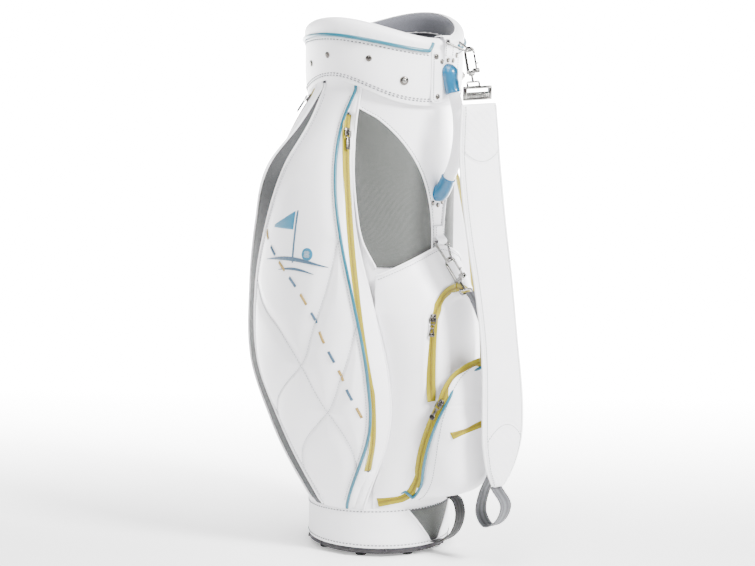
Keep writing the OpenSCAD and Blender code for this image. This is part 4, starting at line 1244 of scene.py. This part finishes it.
def puller(node, body, zip_name, style, mirror=False):
    """A puller: a wire bail from the pin, then a grip, a charm or a medallion."""
    wide = 6.0 if zip_name == "valuables" else 5.0
    bm = bmesh.new()
    bail = [(-wide, 0, 0), (-wide, -5, 0), (-wide + 0.6, -8.6, 0), (-wide + 2.2, -10, 0),
            (wide - 2.2, -10, 0), (wide - 0.6, -8.6, 0), (wide, -5, 0), (wide, 0, 0)]
    add_rod(bm, spline(bail, 60), 0.85, 8)
    add_rod(bm, np.linspace((-wide, 0, 0), (wide, 0, 0), 8), 0.8, 8)
    if style == "grip":
        add_block(bm, (-3.6, -PULL_L + 0.6, -1.0), (3.6, -9.4, 1.0), 0.8)
        for k in range(7):
            add_block(bm, (-3.0, -13.4 - 2.1 * k, -1.35), (3.0, -12.4 - 2.1 * k, 1.35), 0.3)
    elif style == "charm":
        link = [(3.0 * math.sin(g), -13.2 + 3.2 * math.cos(g), 0) for g in
                np.linspace(0, 2 * math.pi, 24, endpoint=False)]
        add_rod(bm, link, 0.8, 8, loop=True)
        corners = [(-4.2, -28.6, 0), (4.2, -28.6, 0), (1.6, -16.6, 0), (-1.6, -16.6, 0)]
        add_rod(bm, rounded(corners, 1.2), 1.1, 8, loop=True)
        add_block(bm, (-2.6, -27.6, -0.5), (2.6, -24.2, 0.5), 0.3)
    else:
        add_block(bm, (-2.2, -20.5, -0.9), (2.2, -9.4, 0.9), 0.6)
        coin = [(0, -0.9), (3.4, -0.9), (4.4, -1.1), (4.9, 0), (4.4, 1.1), (3.4, 0.9), (0, 0.9)]
        add_lathe(bm, coin, 32, (0, -PULL_L + 5.2))
    where = zip_matrix(zip_name) @ Matrix.Translation((0, 0, BRIDGE_Z))
    if zip_name == "valuables":
        where = where @ Matrix.Rotation(math.pi / 2, 4, "Z")
    finished(node + "_" + style, tidy(bm), DARK_NICKEL, slot="zip_metal", body=body,
             replaces=[node], frame=where, mirror=mirror)


for side, mirror in SIDES:
    for zip_name in ("side", "rear"):
        body = zip_name + "_" + side
        slider(zip_name + "_slider_" + side, body + "_slider", zip_name, mirror)
        puller(zip_name + "_puller_" + side, body + "_puller", zip_name, "grip", mirror)
for zip_name, style in (("accessory", "charm"), ("ball", "medallion"), ("valuables", "charm")):
    slider(zip_name + "_slider", zip_name + "_slider", zip_name)
    puller(zip_name + "_puller", zip_name + "_puller", zip_name, style)


# ---------- straps, handle and loop ----------
def ribbon(path, side_dir, half_w, half_t, square=6.0):
    """(place, away) for a strap of rounded flat section carried along a path."""
    share = lengths(path) / lengths(path)[-1]
    ahead = np.gradient(path, axis=0)
    ahead /= np.linalg.norm(ahead, axis=1)[:, None]
    side = np.broadcast_to(np.asarray(side_dir, float), path.shape)
    out = np.cross(side, ahead)
    out /= np.linalg.norm(out, axis=1)[:, None]

    def place(u, v):
        g = 2 * np.pi * u
        c, s = np.cos(g), np.sin(g)
        x = np.sign(c) * np.abs(c) ** (2 / square)
        y = np.sign(s) * np.abs(s) ** (2 / square)
        wide = half_w(v) if callable(half_w) else half_w
        thick = half_t(x, y, v) if callable(half_t) else half_t * y
        return (rows_at(path, share, v) + rows_at(side, share, v) * (x * wide)[:, None]
                + rows_at(out, share, v) * thick[:, None])

    return place, lambda u, v: rows_at(path, share, v)


def strap(name, path, side_dir, half_w, half_t, finish, around=24, along=200, square=6.0, **more):
    bm = bmesh.new()
    place, away = ribbon(path, side_dir, half_w, half_t, square)
    total = lengths(path)[-1]
    girth = 4 * (half_w if not callable(half_w) else 40)
    mapped(bm, place, around, along, size=(girth, total), wrap="capped", away=away)
    return finished(name, bm, finish, **more)


def in_plane(points, count=200):
    """A path in the bag's middle plane through (radius, height) points."""
    return spline([(0, -r, z) for r, z in points], count)


strap("grab_loop_webbing", in_plane([(140, 100), (160, 93), (167, 70), (158, 42), (138, 24),
                                     (117, 19)]), (1, 0, 0), 12.5, 1.0, BLACK_WEBBING,
      slot="black_webbing", replaces=["grab_loop"])

GRIP = circle_through((0, -138.4, 744), (0, -152, 672), (0, -131, 603))
grip_path = on_arc(GRIP, (0, -138.4, 744), np.linspace(0, GRIP[3], 90))
bm = bmesh.new()
add_rod(bm, grip_path, 9.0 + 0.8 * np.sin(np.linspace(0, math.pi, 90)) ** 0.7, 32)
bmesh.ops.recalc_face_normals(bm, faces=bm.faces)
finished("handle_grip_wrapped", bm, WHITE_PU, slot="white_leatherette",
                   replaces=["handle_grip"])
spoke = grip_path - GRIP[0]
spoke /= np.linalg.norm(spoke, axis=1)[:, None]
back_row = grip_path - spoke * (9.7 * np.sign((spoke * (0, -1, 0)).sum(1)))[:, None]
stitches("handle_stitches", [(back_row + (1.6, 0, 0), -spoke), (back_row - (1.6, 0, 0), -spoke)],
         PAINTED_SHADE_THREAD)


def socket(name, wall, plate_z, start, end, replaces):
    """A moulded socket that carries the grip's end from a round plate on the bag."""
    bm = bmesh.new()
    path = spline([(0, -wall - 1.0, plate_z), (0, -wall - 4.5, plate_z), start, end], 40)
    share = np.linspace(0, 1, 40)
    add_rod(bm, path, 14.5 - 3.3 * share**0.6 + 0.8 * bump_at(share - 0.97, 0.04), 40)
    bmesh.ops.recalc_face_normals(bm, faces=bm.faces)
    return finished(name, bm, CYAN_SLEEVE, slot="cyan_trim", replaces=replaces)


socket("handle_socket_upper", 127.0, 771, (0, -134.5, 757), (0, -139.6, 740),
       ["handle_sleeve_upper"])
socket("handle_socket_lower", TUBE_R, 582, (0, -123.5, 590), (0, -132.6, 607),
       ["handle_sleeve_lower"])
studs("handle_rivet_heads", [(*at_wall(x, r, z), 4) for x, r, z in (
    (-6.4, 127.4, 789), (0, 127.6, 791), (6.4, 127.4, 789), (-6, 112, 566), (6, 112, 566),
    (0, 112, 562))], DARK_NICKEL, slot="hardware", replaces=["handle_rivets"])

# The ring tabs, as (radius, height) points in the bag's middle plane, and their half width
TAB = 11.0
tab_upper = [(127.6, 794), (128.6, 806), (130.2, 814), (130.4, 819.5), (132.2, 823.4),
             (135.6, 824.4), (139.2, 821.8), (139.3, 817.2), (136.4, 814.4), (131.5, 815.0)]
over_rim = [(129.2, 797), (129.8, 812), (129.4, 822), (126, 826.8), (118, 827.4), (110, 826.0),
            (105.6, 818), (104.9, 806)]
tab_lower = [(113.4, 529), (113.7, 514), (113.9, 506), (115.2, 501.6), (118.6, 500.4), (122.4, 503),
             (122.4, 507.4), (119.4, 510.2), (116.4, 514), (115.4, 529)]
bm = bmesh.new()
for points in (tab_upper, over_rim, tab_lower):
    place, away = ribbon(in_plane(points, 120), (1, 0, 0), TAB, 0.9)
    mapped(bm, place, 24, 110, size=(46, 60), wrap="capped", away=away)
finished("ring_tabs_leather", bm, WHITE_SMOOTH, slot="white_leatherette", replaces=["ring_tabs"])
rows = []
for points, lift in ((over_rim[:3], 1.1), ([tab_lower[-1], tab_lower[-2]], 1.1)):
    for s in (-1, 1):
        path = spline([(s * 8.5, -r - lift, z) for r, z in points], 30)
        rows.append((path, path * 0 + (0, -1, 0)))
stitches("ring_tab_stitches", rows, PAINTED_SHADE_THREAD, pitch=3.4, length=2.4)


def tilted(origin, degrees):
    """Axes at an origin, turned about X."""
    return Matrix.Translation(origin) @ Matrix.Rotation(math.radians(degrees), 4, "X")


UPPER_BAR, UPPER_FALL = Vector((0, -135, 819)), 20
LOWER_BAR, LOWER_FALL = Vector((0, -118.5, 505)), 58
for name, body, bar, fall in (("d_ring_upper", "ring_upper", UPPER_BAR, UPPER_FALL),
                              ("d_ring_lower", "ring_lower", LOWER_BAR, LOWER_FALL)):
    bm = bmesh.new()
    add_rod(bm, rounded([(-16, 0, 0), (16, 0, 0), (6, -36, 0), (-6, -36, 0)], 4.0, 8), 2.0, 14,
            loop=True)
    bmesh.ops.recalc_face_normals(bm, faces=bm.faces)
    finished(name + "_bent_wire", bm, NICKEL, slot="hardware", body=body, replaces=[name],
             frame=tilted(bar, fall))


def ring_end(bar, fall):
    """The outer end of a D-ring, where its hook hangs."""
    g = math.radians(fall)
    return bar + Vector((0, -math.cos(g), -math.sin(g))) * 36


# Each hook: name, the ring point that it hangs from, its lean in degrees, its swivel's length
HOOKS = (("upper", ring_end(UPPER_BAR, UPPER_FALL), 13, 8),
         ("lower", ring_end(LOWER_BAR, LOWER_FALL), 40, 12))
swivels = bmesh.new()
for name, point, lean, reach in HOOKS:
    where = tilted(point, -lean)
    bm = bmesh.new()
    turn = np.linspace(0, math.pi, 30)
    bow = [(0, 8.5, z) for z in (-31, -24, -16, -9)]
    bow += [(0, 8.5 * math.cos(g), -3.2 + 8.5 * math.sin(g)) for g in turn] + [(0, -8.3, -4.6)]
    bow = spline(bow, 70)
    add_rod(bm, bow, mix(2.7, 2.2, np.linspace(0, 1, 70) ** 0.5), 14)
    add_block(bm, (-3, -4.6, -35), (3, 11, -29.6), 1.4)
    for s in (-1, 1):
        add_block(bm, (s * 4 - 1, -11, -35), (s * 4 + 1, -3.6, -27.4), 0.7)
    add_lathe(bm, [(0, -38.4), (3.6, -38.4), (5, -37.2), (5.2, -35.4), (4.4, -34), (0, -34)], 28,
              (0, 2.5))
    finished("snap_hook_cast_" + name, tidy(bm), NICKEL, slot="hardware", body="hook_" + name,
             replaces=["snap_hook_" + name], frame=where)
    bm = bmesh.new()
    add_rod(bm, np.linspace((0, -8.5, -29.5), (0, -8.5, -5.2), 12), 1.7, 14)
    add_rod(bm, np.linspace((-2.6, -8.5, -30), (2.6, -8.5, -30), 6), 2.3, 14)
    add_block(bm, (-2, -13.2, -21.8), (2, -9, -19.2), 0.8)
    bmesh.ops.recalc_face_normals(bm, faces=bm.faces)
    finished("hook_gate_" + name, bm, NICKEL, slot="hardware", body="gate_" + name,
             replaces=["gate_" + name], frame=where)
    part = bmesh.new()
    low = -38 - reach
    add_lathe(part, [(0, -38.3), (1.9, -38.3), (2, low - 0.5), (3.4, low - 1.2), (3.4, low - 2.6),
                     (0, low - 3)], 24, (0, 2.5))
    loop = rounded([(-15.2, 2.5, low - 1.6), (15.2, 2.5, low - 1.6), (15.2, 2.5, low - 9.2),
                    (-15.2, 2.5, low - 9.2)], 3.0)
    add_rod(part, loop, 1.7, 12, loop=True)
    tidy(part)
    part.transform(where)
    spare = bpy.data.meshes.new("swivel")
    part.to_mesh(spare)
    part.free()
    swivels.from_mesh(spare)
finished("strap_swivels", swivels, NICKEL, slot="hardware", body="strap", replaces=["hook_swivels"])

PAD_TURN = math.radians(12)
CROSSWISE = (math.cos(PAD_TURN), -math.sin(PAD_TURN), 0)
PAD_W, PAD_L = 40.0, 620.0          # half the width, and the length that the quilting counts on
PAD_PATH = in_plane([(189, 727), (190.5, 690), (193, 640), (206, 545), (226, 437), (240, 338),
                     (246, 262), (246, 190), (240, 128)], 400)
PAD_SHARE = [0, 0.12, 0.3, 0.6, 0.85, 0.94, 1]
PAD_WIDTH = [0.84, 0.98, 1, 0.9, 1, 0.72, 0.24]


def pad_half(v):
    """Half the pad's width along it, narrowing to a tongue at its lower end."""
    return PAD_W * smooth(PAD_SHARE, PAD_WIDTH, v)


def patch_edge(x, v):
    """Distance along the pad, in share, inside the round-ended patches at its two ends."""
    top = 0.155 - 0.035 * x * x - v
    low = v - (0.825 + 0.05 * x * x)
    return np.maximum(top, low)


def pad_thick(x, y, v):
    """The pad's outside (y above 0) and inside, with quilted patches at its two ends."""
    inside = patch_edge(x, v)
    ends = np.clip(np.minimum(v / 0.02, (1 - v) / 0.03), 0, 1)
    crown = (1 - np.abs(x) ** 5) ** 0.5 * mix(0.35, 1, ends**0.5)
    lozenge = sum(bump_at((v * PAD_L + way * x * 34) % 15 - 7.5, 1.3) for way in (1, -1))
    quilt = np.where(inside > 0.006, 0.8 * lozenge, 0) + 1.3 * bump_at(inside, 0.0035)
    rib = np.where(inside < -0.01, 0.5 * bump_at(np.abs(x) - 0.72, 0.03), 0)
    return np.where(y >= 0, 6.4 + 0.9 * (inside > 0) - quilt - rib, -5.0) * crown


pad_axis = tuple(-c for c in CROSSWISE)
pad = strap("shoulder_pad_padded", PAD_PATH, pad_axis, pad_half, pad_thick, WHITE_PU, 112, 420, 2.0,
            slot="white_leatherette", body="strap", replaces=["strap_pad"])
share = np.linspace(0.004, 0.995, 260)
pad_side, _ = ribbon(PAD_PATH, pad_axis, pad_half, lambda x, y, v: y, 2.0)
pad_edges = [pad_side(0 * share + g, share) for g in (0.0, 0.5)]
rods("shoulder_pad_piping", [np.concatenate([pad_edges[0], pad_edges[1][::-1]])], 2.3,
     WHITE_SMOOTH, 10, loop=True, slot="white_leatherette", body="strap")
pad_top, _ = ribbon(PAD_PATH, pad_axis, pad_half, pad_thick, 2.0)
pad_lines = [pad_top(np.arccos(x) / (2 * np.pi) + 0 * share, share) for x in (-0.88, 0.88)]
x = np.linspace(-0.9, 0.9, 60)
for end, bow, way in ((0.155, 0.035, 1), (0.825, 0.05, -1)):
    pad_lines.append(pad_top(np.arccos(x) / (2 * np.pi), end - way * bow * x * x - way * 0.006))
stitches("shoulder_pad_stitches", [(path, path * 0 + (0.2, -1, 0)) for path in pad_lines],
         PAINTED_SHADE_THREAD, body="strap")

WEB = in_plane([(236, 128), (238, 124.5), (256, 101), (246, 74), (223, 62), (208, 82),
                (214, 116), (230, 150), (236, 200), (236, 262), (228.5, 330), (207, 388),
                (190, 420), (181, 431)], 420)
WEB_TURN = math.radians(6)
WEB_ACROSS = (math.cos(WEB_TURN), -math.sin(WEB_TURN), 0)


def web_thick(x, y, v):
    """The webbing's thickness, with its woven ribs."""
    return y * (1.05 + 0.12 * np.cos(x * 22))


strap("strap_webbing_ribbed", WEB, WEB_ACROSS, 12.5, web_thick, GREY_WEBBING, 48, 420,
      slot="webbing", body="strap", replaces=["strap_webbing"])

bm = bmesh.new()
add_block(bm, (-28, -3.0, 0), (28, 3.0, 4.2), 1.0)
add_block(bm, (-28, -3.0, 17.8), (28, 3.0, 22), 1.0)
for s in (-1, 1):
    add_block(bm, (s * 25.5 - 2.5, -3.0, 2), (s * 25.5 + 2.5, 3.0, 20), 1.0)
add_block(bm, (-24, -2.0, 3), (24, 1.6, 13), 0.8)
forward = Matrix.Rotation(math.pi / 2, 3, "X")
for k in range(11):
    for j in range(3):
        spike = bmesh.ops.create_cone(bm, cap_ends=True, segments=8, radius1=1.3, radius2=0.5,
                                      depth=1.2)["verts"]
        bmesh.ops.rotate(bm, verts=spike, cent=(0, 0, 0), matrix=forward)
        bmesh.ops.translate(bm, vec=(-20 + 4 * k, -2.6, 5.2 + 2.8 * j), verts=spike)
finished("strap_clasp_cast", tidy(bm), NICKEL, slot="hardware", body="strap",
         replaces=["strap_clasp"],
         frame=Matrix.Translation((0, -186, 732)) @ Matrix.Rotation(-PAD_TURN, 4, "Z"))

# ---------- floor, light and camera ----------
def floor_finish():
    """Pale matt studio paper that glows, as painted light: faintly near the bag, and brightening
    into the distance behind it.
    """
    made, tree, shader = start_material("pale_studio_floor", {"Roughness": 0.9})
    shader.inputs["Base Color"].default_value = linear("#FAFAFA")
    # Painted light: the floor glows, weakly near the bag and strongly far behind it.
    shader.inputs["Emission Color"].default_value = (1, 1, 1, 1)
    where = place_of(tree)
    far = add(tree, "ShaderNodeVectorMath", {"operation": "DOT_PRODUCT", 1: AWAY},
              {0: where}).outputs["Value"]
    spread = add(tree, "ShaderNodeMapRange", {"interpolation_type": "SMOOTHSTEP", "From Min": -0.1,
                                              "From Max": 2.2, "To Min": 0.4, "To Max": 24.0},
                 {"Value": far})
    tree.links.new(spread.outputs[0], shader.inputs["Emission Strength"])
    return made


mesh = bpy.data.meshes.new("floor")
bm = bmesh.new()
bmesh.ops.create_grid(bm, x_segments=1, y_segments=1, size=30)
bm.to_mesh(mesh)
bm.free()
mesh.materials.append(floor_finish())
floor = bpy.data.objects.new("floor", mesh)
bpy.context.collection.objects.link(floor)


def lamp(name, spot, aim, width, power):
    """A soft rectangular studio light, in metres and watts."""
    light = bpy.data.lights.new(name, "AREA")
    light.shape = "RECTANGLE"
    light.size = width
    light.size_y = width * 1.3
    light.energy = power
    holder = bpy.data.objects.new(name, light)
    holder.location = spot
    holder.rotation_euler = (Vector(aim) - Vector(spot)).to_track_quat("-Z", "Y").to_euler()
    bpy.context.collection.objects.link(holder)


lamp("key_light", (0.1, -3.5, 3.0), (0, 0, 0.6), 0.9, 620)
lamp("side_light", (-3.4, -0.9, 2.6), (0, 0, 0.6), 0.9, 75)
lamp("top_light", (-0.8, -0.2, 3.2), (0, 0, 0.4), 1.2, 110)
lamp("back_light", (2.4, 2.6, 1.6), (0, 0, 0.5), 0.9, 60)


def studio_world():
    """Even white studio air, brighter behind the bag than on the side that is looked at."""
    world = bpy.data.worlds.new("studio")
    world.use_nodes = True
    tree = world.node_tree
    where = add(tree, "ShaderNodeTexCoord").outputs["Generated"]
    facing = add(tree, "ShaderNodeVectorMath",
                 {"operation": "DOT_PRODUCT", 1: (*AWAY[:2], -0.1)}, {0: where}).outputs["Value"]
    spread = add(tree, "ShaderNodeMapRange", {"interpolation_type": "SMOOTHSTEP", "From Min": 0.55,
                                              "From Max": 0.95, "To Min": 0.14, "To Max": 4.0},
                 {"Value": facing})
    tree.links.new(spread.outputs[0], tree.nodes["Background"].inputs["Strength"])
    tree.nodes["Background"].inputs["Color"].default_value = (1, 1, 1, 1)
    return world


bpy.context.scene.world = studio_world()

LENS, SHIFT, ROLL = 119.9, -0.0053, 0.7     # millimetres, share of the width, degrees
EYE, AIM = Vector((-3.109, -2.517, 1.07)), Vector((0, 0, 0.425))

camera = bpy.data.objects.new("main_camera", bpy.data.cameras.new("main_camera"))
bpy.context.collection.objects.link(camera)
camera.data.lens = LENS
camera.data.shift_x = SHIFT
facing = (AIM - EYE).to_track_quat("-Z", "Y").to_matrix().to_4x4()
camera.matrix_world = Matrix.Translation(EYE) @ facing @ Matrix.Rotation(math.radians(ROLL), 4, "Z")
bpy.context.scene.camera = camera
